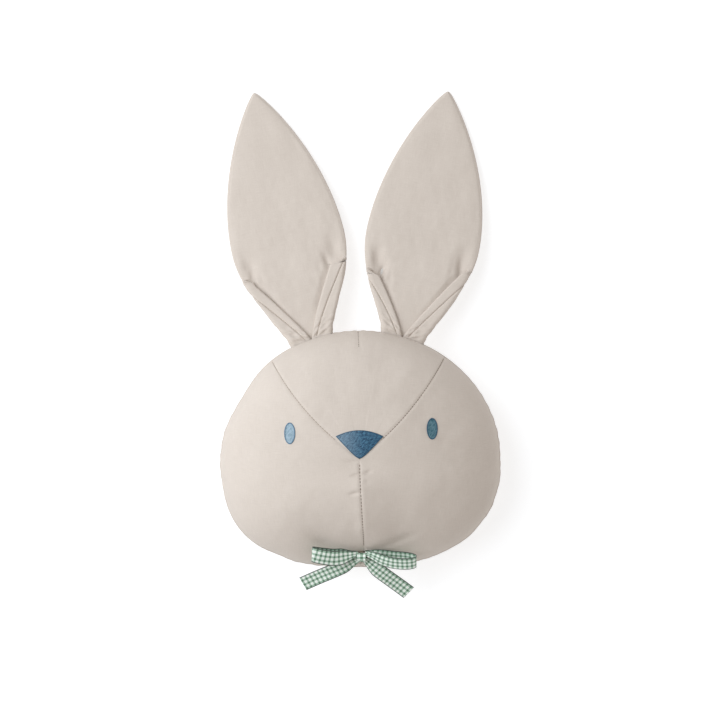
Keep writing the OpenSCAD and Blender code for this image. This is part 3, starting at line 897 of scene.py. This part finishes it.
HINGE_U = 6.2
BASE_HALF = 22.5
WIDE_HALF = 57.6
WIDE_U = 100
FOLD_T = 3.7
EDGE_T = 4.2
FOLD_R = FOLD_T / 2 + 0.55
LEDGE = 1.4
OPEN_OVER = 5.5
TIP_R = 6.5
LEAN = {"left": -13.2, "right": 10.6}
LENGTH = {"left": 254.5, "right": 251.5}
EARS = [
    Ear("left", LEAN["left"], LENGTH["left"], {-1: (68, 44.5), 1: (68, 35.5)}, -1.0),
    Ear("right", LEAN["right"], LENGTH["right"], {-1: (56, 35.5), 1: (73, 44.5)}, 2.4),
]


def ear_half(ear, u):
    """Half the ear's width, with a rounded end."""
    grow = mix(BASE_HALF, WIDE_HALF, np.sin(np.clip(u / WIDE_U, 0, 1) * math.pi / 2) ** 1.22)
    t = np.clip((u - WIDE_U) / (ear.length - 1 - WIDE_U), 0, 1)
    tip = EDGE_T / 2 + (WIDE_HALF - EDGE_T / 2) * np.maximum(0, 1 - t ** 1.85) ** 0.9
    past = u - ear.length + 1 + TIP_R
    rounded = EDGE_T / 2 + np.sqrt(np.maximum(0, TIP_R ** 2 - np.maximum(0, past) ** 2))
    tip = np.where(past < 0, tip, np.minimum(tip, rounded))
    return np.where(u < WIDE_U, grow, tip)


def ear_mid_t(ear, u):
    grow = mix(3.6, 9.0, ease((u - 4) / 60))
    t = np.clip((u - WIDE_U) / (ear.length - WIDE_U), 0, 1)
    tip = mix(EDGE_T, 9.0, np.sqrt(np.maximum(0, 1 - t ** 3)))
    return np.where(u < WIDE_U, grow, tip)


def ear_under(ear, u):
    t = np.clip((u - 5.7) / (ear.length - 5.7), 0, 1)
    return 37.4 * (1 - t) ** 1.7


def ear_fold(ear, u, side):
    """Turn of the margin at u, and the lengths of the flat part, the bend and the flap."""
    top_u, top_v = ear.tops[side]
    turn = math.pi * (1 - ease((u - top_u - LEDGE * 0.6) / OPEN_OVER)) + math.radians(3)
    inner = mix(0.4, top_v, np.clip(u / top_u, 0, 1) ** 1.15)
    half = ear_half(ear, u)
    bend = FOLD_R * math.pi * mix(0.55, 1.0, ease(turn / math.pi)) + 0 * u
    r = bend / turn
    folded_flat = half - FOLD_R - FOLD_T / 2
    flap = np.maximum(folded_flat - EDGE_T / 2 - inner, 3.0)
    flap = mix(flap, 1.4, ease((u - top_u) / LEDGE))
    room = np.maximum(half - EDGE_T / 2, 0.3)
    flap = np.minimum(flap, mix(0.5, 0.8, ease((top_u + 10 - u) / 20)) * room)
    bend = np.minimum(bend, 0.35 * room)
    r = bend / turn
    out = r * np.sin(np.minimum(turn, math.pi / 2)) + np.maximum(0, np.cos(turn)) * flap
    flat = np.maximum(half - out - mix(EDGE_T, FOLD_T, ease(turn / math.pi)) / 2, 0.02)
    return turn, r, flat, bend, flap


def ear_mid(ear, u, side, share):
    """The ear's middle layer at a share of the way from the centre to the edge: sideways, up and turn."""
    turn, r, flat, bend, flap = ear_fold(ear, u, side)
    whole = flat + bend + flap
    run = share * whole
    a = np.clip((run - flat) / r, 0, turn)
    m = np.maximum(run - flat - bend, 0)
    v = np.minimum(run, flat) + r * np.sin(a) + m * np.cos(a)
    z = r * (1 - np.cos(a)) + m * np.sin(a)
    return v, z, a, run, whole


def ear_thick(ear, u, side, run, whole):
    top_u, top_v = ear.tops[side]
    mid_t = ear_mid_t(ear, u)
    open_t = mix(EDGE_T, mid_t, np.sqrt(np.maximum(0, 1 - np.clip(run / whole, 0, 1) ** 4)))
    inner = mix(2.0, top_v, np.clip(u / top_u, 0, 1))
    folded_t = mix(mid_t, FOLD_T, ease((run - inner + 9) / 9))
    folded_t = mix(folded_t, EDGE_T, ease((run / whole - 0.8) / 0.18))
    folded = 1 - ease((u - top_u - 2) / 22)
    return mix(open_t, np.minimum(folded_t, np.maximum(mid_t, EDGE_T)), folded)


def ear_place(ear, u, v, z):
    skew = mix(ear.seam_a, -ear.lean, ease(u / 60))
    sway = ear.sway * np.sin(np.clip(u / ear.length, 0, 1) * math.pi)
    x = ear.root[0] + u * ear.axis[0] + (v + sway) * np.cos(skew)
    y = ear.root[1] + u * ear.axis[1] + (v + sway) * np.sin(skew)
    return points(x, y, z)


ear_wrinkles = field(21, 16, 9, 26)
ear_lumps = field(34, 12, 30, 70)
root_puckers = field(55, 12, 4.5, 9)


def ear_front_marks(ear, u, v, side):
    """Soft creases and dents in an ear's front, beside and above the tops of its folded margins."""
    top_u, top_v = ear.tops[side]
    deep = 2.0 if (ear.side == "right" and side < 0) else 1.1
    w = v * side
    half = ear_half(ear, u)
    marks = -2.0 * deep * bell(u - top_u - 17, 11) * bell(w - half + 14, 6.5)
    marks += -1.5 * deep * bell(u - top_u - 4, 9) * bell(w - top_v + 1.5 + 0.15 * (u - top_u), 3.2)
    marks += -0.7 * deep * bell(u - top_u + 2, 15) * bell(w - top_v + 10 - 0.10 * (u - top_u), 3.6)
    marks += -0.35 * bell(u - top_u + 18, 14) * bell(w - top_v + 20 + 0.2 * (u - top_u), 4.2)
    return marks


def ear_relief(ear, u, v, side, front):
    wild = ease((u - 6) / 20) * (1 - ease((u - 90) / 120) * 0.6)
    shift = 400 if ear.side == "right" else 0
    relief = 0.10 * ear_wrinkles(u + shift, v) * wild + 0.28 * ear_lumps(u + shift, v) * ease((u - 8) / 30)
    if front:
        relief = relief + ear_front_marks(ear, u, v, side)
    return relief


def seam_back(ear, u, side):
    """How far the edge seam lies behind the ear's edge: far where the margin is folded, close beyond."""
    top_u = ear.tops[side][0]
    folded = mix(3.2, 11.5, np.clip(u / top_u, 0, 1))
    return mix(folded, 1.6, ease((u - top_u) / 40))


def tip_shrink(ear, u):
    """Rounds the ear's end: the last rows shrink to the tip."""
    t = np.clip((u - (ear.length - EDGE_T / 2)) / (EDGE_T / 2), 0, 0.997)
    return np.sqrt(1 - t ** 2)


def ear_side_points(ear, u, side, share, h, inset=0.0):
    """Points of one half of the ear. h is 1 for its front and -1 for its back."""
    k = tip_shrink(ear, u)
    v, z, a, run, whole = ear_mid(ear, u, side, share)
    t = ear_thick(ear, u, side, run, whole)
    relief = ear_relief(ear, u, side * run, side, h > 0)
    relief = relief * ease((whole - run) / 8)
    if h < 0:
        back = whole + t / 2 - run
        near_root = (1 - ease((u - 10) / 22)) * ease(u / 3)
        relief = relief + 0.42 * root_puckers(u * 0.7 + 90, run * 1.3) * near_root
        relief = relief - 1.0 * bell(back - seam_back(ear, u, side) - t / 2, 0.85) * ease(u / 4)
    lift = h * (t / 2 + relief - inset) * k
    base = ear_under(ear, u) + ear_mid_t(ear, u) / 2
    return ear_place(ear, u, side * (v * k - lift * np.sin(a)), base + z + lift * np.cos(a))


def ear_cap_points(ear, u, side, turn_share, inset=0.0):
    """Points round the ear's rolled edge, from its front (0) to its back (1)."""
    k = tip_shrink(ear, u)
    v, z, a, run, whole = ear_mid(ear, u, side, 1.0 + 0 * u)
    t = ear_thick(ear, u, side, run, whole)
    b = math.pi * (0.5 - turn_share)
    reach = (t / 2 - inset) * k
    out, up = reach * np.cos(b), reach * np.sin(b)
    base = ear_under(ear, u) + ear_mid_t(ear, u) / 2
    w = v * k + out * np.cos(a) - up * np.sin(a)
    return ear_place(ear, u, side * w, base + z + out * np.sin(a) + up * np.cos(a))


def ear_rows(ear, first=-2.4):
    top = max(ear.tops[-1][0], ear.tops[1][0])
    low = min(ear.tops[-1][0], ear.tops[1][0])
    end = ear.length - 0.01
    peaks = ((low + 6, 9, 2.2), (top + 6, 9, 2.2), (0, 10, 1.5), (end, 5, 6))
    return even_rows(first, end, 168, *peaks)[:, None]


def edge_seam(ear, u, side):
    """How far behind the edge the seam runs, kept inside the ear, and the whole way to the edge."""
    whole = ear_mid(ear, u, side, 1.0 + 0 * u)[4]
    return np.minimum(seam_back(ear, u, side), whole * 0.7), whole


def ear_half_front(ear, u, side, inset):
    """Columns of the front panel on one side, from the ear's centre out and round to its seam."""
    share = np.linspace(0, 1, 70)[None, :]
    front = ear_side_points(ear, u, side, share, 1, inset)
    cap = ear_cap_points(ear, u, side, np.linspace(0, 1, 9)[None, 1:-1], inset)
    back, whole = edge_seam(ear, u, side)
    share = 1 - np.linspace(0, 1, 10)[None, :] * back / whole
    return np.concatenate([front, cap, ear_side_points(ear, u, side, share, -1, inset)], 1)


def ear_half_back(ear, u, side, inset):
    """Columns of the back panel on one side, from the ear's centre out to its seam."""
    back, whole = edge_seam(ear, u, side)
    share = np.linspace(0, 1, 70)[None, :] * (1 - (back + 0.05) / whole)
    return ear_side_points(ear, u, side, share, -1, inset)


def both_sides(half_of, ear, u, inset):
    left = half_of(ear, u, -1, inset)[:, ::-1]
    right = half_of(ear, u, 1, inset)
    return np.concatenate([left, right[:, 1:]], 1)


def section_uv(grid, u):
    """Cloth coordinates of an ear: distance across, from its centre line, and distance along."""
    step = np.linalg.norm(np.diff(grid, axis=1), axis=2)
    run = np.concatenate([np.zeros((len(grid), 1)), step.cumsum(1)], 1)
    return np.stack([run - run[:, -1:] / 2, u + 0 * run], -1)


def ear_cloth(ear, part, half_of):
    """The ear's front or back panel."""
    u = ear_rows(ear)
    outer = both_sides(half_of, ear, u, 0.0)
    inner = both_sides(half_of, ear, u, CLOTH_T - 0.1)
    piece = slab(f"{ear.side}_ear_{part}_cloth", outer, inner, section_uv(outer, u))
    place_bending(piece, LINEN, ear, f"{ear.side}_ear_{part}_panel")


def ear_wadding(ear):
    """The layer of wadding inside the ear."""
    u = ear_rows(ear, 1.0)[:-12:2]
    share = np.linspace(0, 1, 30)[None, :]
    inset = CLOTH_T + 0.15
    right_front = ear_side_points(ear, u, 1, share, 1, inset)
    right_cap = ear_cap_points(ear, u, 1, np.linspace(0, 1, 6)[None, 1:-1], inset)
    right_back = ear_side_points(ear, u, 1, share, -1, inset)[:, ::-1]
    left_back = ear_side_points(ear, u, -1, share, -1, inset)[:, 1:]
    left_cap = ear_cap_points(ear, u, -1, np.linspace(1, 0, 6)[None, 1:-1], inset)
    left_front = ear_side_points(ear, u, -1, share, 1, inset)[:, :0:-1]
    rings = np.concatenate([right_front, right_cap, right_back, left_back, left_cap, left_front], 1)
    piece = closed_tube(ear.side + "_ear_padding", rings)
    place_bending(piece, FIBRE, ear, ear.side + "_ear_wadding")


def ear_seam_path(ear, side, u):
    back, whole = edge_seam(ear, u, side)
    share = 1 - back / whole
    outer = ear_side_points(ear, u, side, share, -1, 0.0)
    inner = ear_side_points(ear, u, side, share, -1, 0.4)
    return outer, unit(outer - inner)


def joined(parts):
    """One array for the places, one for the ways and one for the ups of several rows of stitches."""
    return [np.concatenate(kind) for kind in zip(*parts)]


def ear_edge_stitches(ear):
    """The thread of the seam that joins the ear's two panels."""
    parts = []
    for side in (-1, 1):
        u = np.linspace(1.0, ear.length - 4.0, 500)
        path, out = ear_seam_path(ear, side, u)
        place, way = spaced(np.concatenate([path, out], 1), 2.7, 1.0)
        parts.append((place[:, :3] - 0.05 * place[:, 3:], way, unit(place[:, 3:])))
    obj = stitches(ear.side + "_ear_edge_stitches", *joined(parts), 2.2, 0.2)
    place_bending(obj, BEIGE, ear, ear.side + "_ear_edge_thread")


def ear_tack_stitches(ear):
    """Stitches that hold the ear's folded root in the perimeter seam."""
    a = ear.angle + np.linspace(-1, 1, 80) * ear.half_angle
    parts = []
    for z, tilt in ((RIM_Z + FACE_LIFT + 0.2, 1), (RIM_Z - BACK_LIFT - 0.2, -1)):
        place, way = spaced(on_ring(rim_radius(a) - 0.75, a, z), 3.4, 1.0, 1.0)
        parts.append((place, way, unit(unit(place * [1, 1, 0]) + [0, 0, 0.5 * tilt])))
    obj = stitches(ear.side + "_ear_tack_stitches", *joined(parts), 2.3, 0.27)
    place_piece(obj, BEIGE, "head", ear.side + "_ear_tack_thread")


# ---- Head pieces ----

def filling():
    """The loose fibre that fills the head."""
    a = np.linspace(0, TAU, 150, endpoint=False)[None, :]
    inset = 2.4
    s = ring_levels(40, 0.01)[:, None]
    x, y = face_plan(s, a, inset)
    top = points(x, y, face_height(x, y, inset) - 0.5)
    top[..., 2] = np.maximum(top[..., 2], RIM_Z)
    s = ring_levels(30, 0.01)[::-1][:, None]
    r = s * rim_radius(a, inset)
    z = np.maximum(RIM_Z - (RIM_Z * BACK_SAG - inset) * dome(s), 1.6)
    back = on_ring(r, a, z)
    piece = closed_tube("head_fibre_filling", np.concatenate([top, back[1:]]))
    place_piece(piece, FIBRE, "head", "head_filling")


def head_panels():
    spans = (
        ("forehead_cloth", "forehead_panel", RIGHT_BROW, LEFT_BROW, (0.235, 0.185), 0.46),
        ("left_cheek_cloth", "left_cheek_panel", LEFT_BROW, CHIN_SEAM, (0.205, 0.265), 0.565),
        ("right_cheek_cloth", "right_cheek_panel", CHIN_SEAM - TAU, RIGHT_BROW, (0.205, 0.265), 0.565),
    )
    for name, node, low, high, flat, share in spans:
        piece = face_panel(name, low, high)
        place_piece(piece, LINEN, "head", node)
    piece = back_panel()
    place_piece(piece, LINEN, "head", "back_panel")
    flat = (0.31, 0.265)


def face_seam_path(a, s_low, s_high, sink):
    s = np.linspace(s_low, s_high, 400)
    x, y = face_plan(s, a)
    return points(x, y, face_height(x, y) - sink)


def face_up(place):
    """The face's outward direction at plan places."""
    x, y = place[:, 0], place[:, 1]
    e = 0.8
    dx = (face_height(x + e, y) - face_height(x - e, y)) / (2 * e)
    dy = (face_height(x, y + e) - face_height(x, y - e)) / (2 * e)
    return unit(points(-dx, -dy, 1))


def seam_stitches(seam, finish, a, s_low, s_high, pitch, length, radius):
    """The stitches of one of the face's seams."""
    path = face_seam_path(a, s_low, s_high, seam_groove(a))
    place, way = spaced(path + 0.2 * face_up(path), pitch)
    obj = stitches(seam + "_stitches", place, way, face_up(place), length, radius)
    place_piece(obj, finish, "head", seam + "_seam_thread")


def face_stitches():
    seam_stitches("left_brow", BEIGE, LEFT_BROW, 0.235, 0.985, 3.1, 2.5, 0.26)
    # The right brow seam takes the darker copy of the beige thread, as painted shade.
    seam_stitches("right_brow", BEIGE_SHADED, RIGHT_BROW, 0.235, 0.985, 3.1, 2.3, 0.28)
    seam_stitches("chin", BROWN, CHIN_SEAM, 0.035, 0.80, 3.5, 2.4, 0.33)


def dart_stitches():
    """The short dart in the crown."""
    y = np.linspace(DART_END[1], DART_TOP[1], 60)
    x = np.interp(y, [DART_END[1], DART_TOP[1]], [DART_END[0], DART_TOP[0]])
    path = points(x, y, face_height(x, y) - DART_DEEP + 0.15)
    place, way = spaced(path, 2.9, 0.5)
    obj = stitches("crown_dart_stitches", place, way, face_up(place), 2.3, 0.3)
    place_piece(obj, BROWN, "head", "crown_dart_thread")


def rim_stitches():
    """The perimeter seam's thread, seen between the two rolled edges."""
    a = np.linspace(0, TAU, 1500)
    keep = ear_gate(a) < 0.5
    parts = []
    cuts = np.flatnonzero(np.diff(keep.astype(int))) + 1
    for part in np.split(np.arange(len(a)), cuts):
        if not keep[part[0]] or len(part) < 12:
            continue
        b = a[part]
        r = rim_radius(b) - 1.15 - pucker(b, 0 * b)
        parts.append(spaced(on_ring(r, b, RIM_Z), 3.6, 1.0, 1.0))
    centres, ways = joined(parts)
    obj = stitches("rim_stitches", centres, ways, unit(centres * [1, 1, 0]), 2.6, 0.3)
    place_piece(obj, BEIGE, "head", "rim_seam_thread")


def closing_stitches():
    """Small slanted hand stitches over the gap through which the head was filled."""
    a = np.radians(np.arange(287, 318, 1.35))
    r = rim_radius(a) - 0.35 - pucker(a, 0 * a)
    centres = on_ring(r, a, RIM_Z)
    along = points(-np.sin(a), np.cos(a), 0)
    ways = unit(0.45 * along + [0, 0, 1])
    obj = stitches("closing_stitches", centres, ways, unit(centres * [1, 1, 0]), 3.2, 0.26, 0.75)
    place_piece(obj, BEIGE, "head", "closing_thread")


# ---- Embroidery ----

def laid_stitches(name, x, y, height, uv, base=0.05):
    """A patch of embroidery over a grid of plan points, with stitches raised by height."""
    z = face_height(x, y)
    return slab(name, points(x, y, z + height), points(x, y, z + base), uv)


def thread_ridges(across, along, pitch, length):
    """Height of threads laid side by side, each row of stitches starting at its own place."""
    row = np.floor(across / pitch)
    ridge = np.abs(np.sin(math.pi * across / pitch))
    start = np.sin(row * 12.9898) * 43758.5453
    start = (start - np.floor(start)) * length
    end = np.abs(np.sin(math.pi * (along + start) / length))
    return ridge ** 0.8 * (0.45 + 0.55 * np.minimum(1, end * 2.4))


def fill_patch(name, node, finish, x, y, rise, slant):
    """Fill stitches that run at a slant."""
    cs, sn = math.cos(slant), math.sin(slant)
    along, across = x * cs + y * sn, -x * sn + y * cs
    height = 0.42 + 0.38 * thread_ridges(across, along, 0.62, 4.3)
    piece = laid_stitches(name, x, y, height * rise, np.stack([across, along], -1))
    place_piece(piece, finish, "head", node)


def outline_patch(name, node, ring_x, ring_y, in_x, in_y, slant):
    """A narrow satin outline between two closed lines."""
    t = np.linspace(0, 1, 9)[:, None]
    x, y = mix(in_x, ring_x, t), mix(in_y, ring_y, t)
    step = np.hypot(np.diff(ring_x, append=ring_x[:1]), np.diff(ring_y, append=ring_y[:1]))
    run = np.concatenate([[0], np.cumsum(step)[:-1]])[None, :]
    cord = np.abs(np.sin(math.pi * (run + slant * t) / 0.55))
    height = 0.25 + 0.62 * np.sin(math.pi * np.clip(t, 0.02, 0.98)) ** 0.6 + 0.13 * cord
    z = face_height(x, y)
    uv = np.stack(np.broadcast_arrays(run, t), -1)
    piece = slab(name, points(x, y, z + height), points(x, y, z + 0.05), uv, ring=True)
    place_piece(piece, BLUE_EDGE, "head", node)


def eye(side):
    border = side + "_eye_border"
    cx, cy = middle(border)[:2]
    half_w, half_h = size_of(border)[:2] / 2
    turn = np.linspace(0, TAU, 260, endpoint=False)
    wide = 1.05
    c, s = np.cos(turn), np.sin(turn)
    outline_patch(side + "_eye_outline", border, cx + half_w * c, cy + half_h * s,
                  cx + (half_w - wide) * c, cy + (half_h - wide) * s, 0.4)
    t = np.linspace(-0.992, 0.992, 60)[None, :]
    k = np.linspace(-1, 1, 100)[:, None]
    w, h = half_w - wide + 0.1, half_h - wide + 0.1
    x = cx + w * np.sin(t * math.pi / 2)
    y = cy + h * np.cos(t * math.pi / 2) * k
    fill_patch(side + "_eye_stitching", side + "_eye_fill", EYE_BLUE, x + 0 * y, y, 0.85, math.radians(62))


NOSE_CORNER = 0.785
NOSE_ROUND = 0.17
NOSE_SIZE = 0.995


def nose_edges(t, tall):
    lower = tall * NOSE_CORNER * (np.hypot(t, NOSE_ROUND) - NOSE_ROUND)
    lower = lower / (math.hypot(1, NOSE_ROUND) - NOSE_ROUND)
    upper = tall * (1 - (1 - NOSE_CORNER) * t * t)
    return lower, upper


def nose():
    half = size_of("nose_border")[0] / 2 * NOSE_SIZE
    tall = size_of("nose_border")[1] * NOSE_SIZE
    t = np.sin(np.linspace(-1, 1, 230) * math.pi / 2 * 0.93) / math.sin(math.pi / 2 * 0.93) * 0.985
    lower, upper = nose_edges(t, tall)
    meet_x, meet_y = SEAMS_MEET
    x = np.concatenate([half * t, half * t[::-1]])
    y = np.concatenate([lower, upper[::-1]])
    keep = 0.945
    in_y = meet_y + NOSE_MIDDLE + (y - NOSE_MIDDLE) * keep
    outline_patch("nose_outline", "nose_border", meet_x + x, meet_y + y, meet_x + x * keep, in_y, 0.3)
    k = np.linspace(0, 1, 130)[:, None]
    t = t[None, :]
    x = meet_x + half * t * keep + 0 * k
    y = meet_y + NOSE_MIDDLE + (mix(lower, upper, k) - NOSE_MIDDLE) * keep
    fill_patch("nose_stitching", "nose_fill", BLUE, x, y, 0.95, math.radians(38))


# ---- Bow ----

BOW_TILT = math.radians(24)
ROOT_X = 6.2
RIBBON_T = 0.45


def in_bow(grid):
    """From the bow's own axes to the frame: x along the bow, y across it and z out of it."""
    x, y, z = grid[..., 0], grid[..., 1], grid[..., 2]
    c, s = math.cos(BOW_TILT), math.sin(BOW_TILT)
    return KNOT + points(x, y * c - z * s, y * s + z * c)


def ribbon(node, spine, side, half_w, body, gather):
    """A strip of ribbon along a spine, with its direction across, its half width, and gathered pleats."""
    way = unit(np.gradient(spine, axis=0))
    across = unit(side - way * (side * way).sum(-1, keepdims=True))
    up = np.cross(way, across)
    run = np.concatenate([[0], np.linalg.norm(np.diff(spine, axis=0), axis=1).cumsum()])
    t = np.linspace(-1, 1, 45)
    crowd = (1 - half_w / (RIBBON_W / 2))[:, None]
    pleat = gather * crowd * np.cos(2.5 * math.pi * t)[None, :]
    curl = 0.25 * np.cos(math.pi * t)[None, :] * np.sin(run / 9)[:, None]
    top = spine[:, None] + across[:, None] * (half_w[:, None] * t)[..., None]
    top = top + up[:, None] * (pleat + curl)[..., None]
    lift = unit(np.cross(np.gradient(top, axis=0), np.gradient(top, axis=1)))
    under = top - lift * RIBBON_T
    uv = np.stack([run[:, None] + 0 * t, RIBBON_W / 2 * t + 0 * run[:, None]], -1)
    piece = slab(node + "_ribbon", in_bow(top), in_bow(under), uv)
    place_piece(piece, GINGHAM, body, node)


def loop_spine(end, low, high, droop):
    """One turn of ribbon from the knot out, over its far end and back, as a drop shape."""
    k = np.linspace(0.02, 0.98, 150)
    a = TAU * k
    t = (1 - np.cos(a)) / 2
    x = end * t
    z = np.where(np.sin(a) > 0, high, low) * np.sin(a) * np.sin(a / 2)
    return x, z, t, -droop * t ** 2


def loop(side, sign, length, reach, roll, tip, puff, droop, shift):
    """A loop of the bow; sign is its direction along the bow, and length, its ribbon's in metres, is not
    used.
    """
    x, z, t, down = loop_spine(reach, puff, puff + 0.4, droop)
    tip = math.radians(tip)
    x, z = x * math.cos(tip) - z * math.sin(tip), x * math.sin(tip) + z * math.cos(tip)
    r = math.radians(roll) * ease(t / 0.35)
    y = shift * (1 - ease(t / 0.6)) + down
    x = sign * (ROOT_X - 2.6 + x)
    spine = points(x, y * np.cos(r) - z * np.sin(r), y * np.sin(r) + z * np.cos(r))
    across = points(0, np.cos(r), np.sin(r))
    half_w = mix(3.3, RIBBON_W / 2, ease(t * reach / 19))
    ribbon(f"bow_{side}_loop", spine, across, half_w, side + "_loop", 1.0)


def tail(side, sign, reach, angle, twist):
    """A tail of the bow, which runs out from under the knot at an angle in the bow's plane."""
    t = np.linspace(0, 1, 90)
    run = t * reach
    a = math.radians(angle)
    wave = 0.9 * np.sin(run / 10) * ease(t / 0.3)
    spine = points(sign * 2.2 + run * math.cos(a), -3.0 + run * math.sin(a), -2.9 - 5.2 * t ** 2 + wave)
    r = math.radians(twist) * ease(t)
    across = points(-math.sin(a) * np.cos(r), math.cos(a) * np.cos(r), np.sin(r))
    half_w = mix(3.2, RIBBON_W / 2, ease(run / 21) ** 0.8)
    ribbon(f"bow_{side}_tail", spine, across, half_w, side + "_tail", 0.9)


def knot():
    """The ribbon wrapped over the bow's middle, creased along and pinched in at both sides."""
    width = size_of("bow_knot")[0]
    turn = np.linspace(0, TAU, 72, endpoint=False)[None, :]
    t = np.linspace(-1, 1, 41)[:, None]
    across = width / 2 * np.sin(t * math.pi / 2)
    crease_in = 0.28 * np.cos(3 * math.pi * t + 0.8 * np.sin(2 * turn)) * (1 - t ** 2)
    r = 4.55 * (1 - 0.62 * np.abs(t) ** 7) + crease_in - 0.25 * bell(t, 0.5)
    squeeze = 1 + 0.05 * np.cos(2 * turn)
    waist = 1 + 0.07 * np.cos(turn)
    top = points(across * waist, r * squeeze * np.cos(turn), r * np.sin(turn) * 0.98)
    uv = np.stack([turn * 4.6 + 0 * t, t * width * 0.55 + 1.2 + 0 * turn], -1)
    piece = closed_tube("bow_knot_ribbon", in_bow(top), uv)
    place_piece(piece, GINGHAM, "bow", "bow_knot")


def bow_tack():
    """Stitches that hold the knot down in the tuck."""
    base = middle("bow_tack_thread")
    size = size_of("bow_tack_thread") / 2
    count = 7
    t = np.linspace(-1, 1, count)
    centres = base + points(t * size[0] * 0.8, 0.2 * np.sin(t * 7), 0)
    down = unit(base - KNOT)
    ways = unit(points(0.25 * np.sin(5 * t), 0, 0) + down)
    ups = np.tile([0.0, -1.0, 0.3], (count, 1))
    obj = stitches("bow_tack_stitches", centres, ways, ups, 2.2, 0.25, 0.1)
    place_piece(obj, BEIGE, "head", "bow_tack_thread")


def bow():
    knot()
    loop("left", -1, 0.097, reach=46.5, roll=-6, tip=14.5, puff=3.8, droop=-7.2, shift=3.6)
    loop("right", 1, 0.112, reach=51.5, roll=19, tip=8, puff=6.4, droop=-1.4, shift=4.2)
    tail("left", -1, reach=64.0, angle=208.6, twist=2)
    tail("right", 1, reach=60.5, angle=-42.0, twist=-3)
    bow_tack()


# ---- Room ----

def add_floor():
    grid = np.linspace(-1, 1, 12)
    x, y = np.meshgrid(grid * 4000, grid * 4000, indexing="ij")
    z = -0.05 + 0.01 * np.sin(x / 900) * np.sin(y / 900)
    floor = mesh_object("studio_floor", np.stack([x, y, z], -1).reshape(-1, 3), grid_quads(12, 12, False))
    floor.data.materials.append(floor_material())


def add_light(name, place, target, size, power, colour):
    data = bpy.data.lights.new(name, "AREA")
    data.shape = "DISK"
    data.size = size
    data.energy = power
    data.color = colour
    obj = bpy.data.objects.new(name, data)
    obj.location = place
    obj.rotation_mode = "QUATERNION"
    obj.rotation_quaternion = (Vector(target) - Vector(place)).to_track_quat("-Z", "Y")
    bpy.context.scene.collection.objects.link(obj)


def add_lights():
    middle_of = (0.0, 0.08, 0.05)
    add_light("key", (-1.35, 0.5, 1.7), middle_of, 2.4, 44, (0.95, 1.0, 1.05))
    add_light("fill", (1.9, -0.3, 0.5), middle_of, 1.6, 3, (1.0, 0.95, 0.9))
    world = bpy.data.worlds.new("studio")
    world.use_nodes = True
    back = world.node_tree.nodes["Background"]
    back.inputs["Color"].default_value = (1.0, 0.955, 0.915, 1.0)
    back.inputs["Strength"].default_value = 0.465
    bpy.context.scene.world = world


def add_camera():
    """Straight above the cushion, with the ears to the top of the picture, from far enough to look flat."""
    data = bpy.data.cameras.new("camera")
    data.sensor_width = 36
    data.lens = 300
    data.clip_end = 50
    camera = bpy.data.objects.new("camera", data)
    camera.location = (-0.0005, 0.099, RIM_Z * MM + 6.0)
    bpy.context.scene.collection.objects.link(camera)
    bpy.context.scene.camera = camera


add_camera()
add_floor()
add_lights()
bpy.context.scene.view_settings.view_transform = "Standard"
bpy.context.scene.view_settings.look = "None"
simulate_swell()
filling()
head_panels()
face_stitches()
dart_stitches()
rim_stitches()
closing_stitches()
eye("left")
eye("right")
nose()
for one in EARS:
    ear_wadding(one)
    ear_cloth(one, "front", ear_half_front)
    ear_cloth(one, "back", ear_half_back)
    ear_edge_stitches(one)
    ear_tack_stitches(one)
bow()
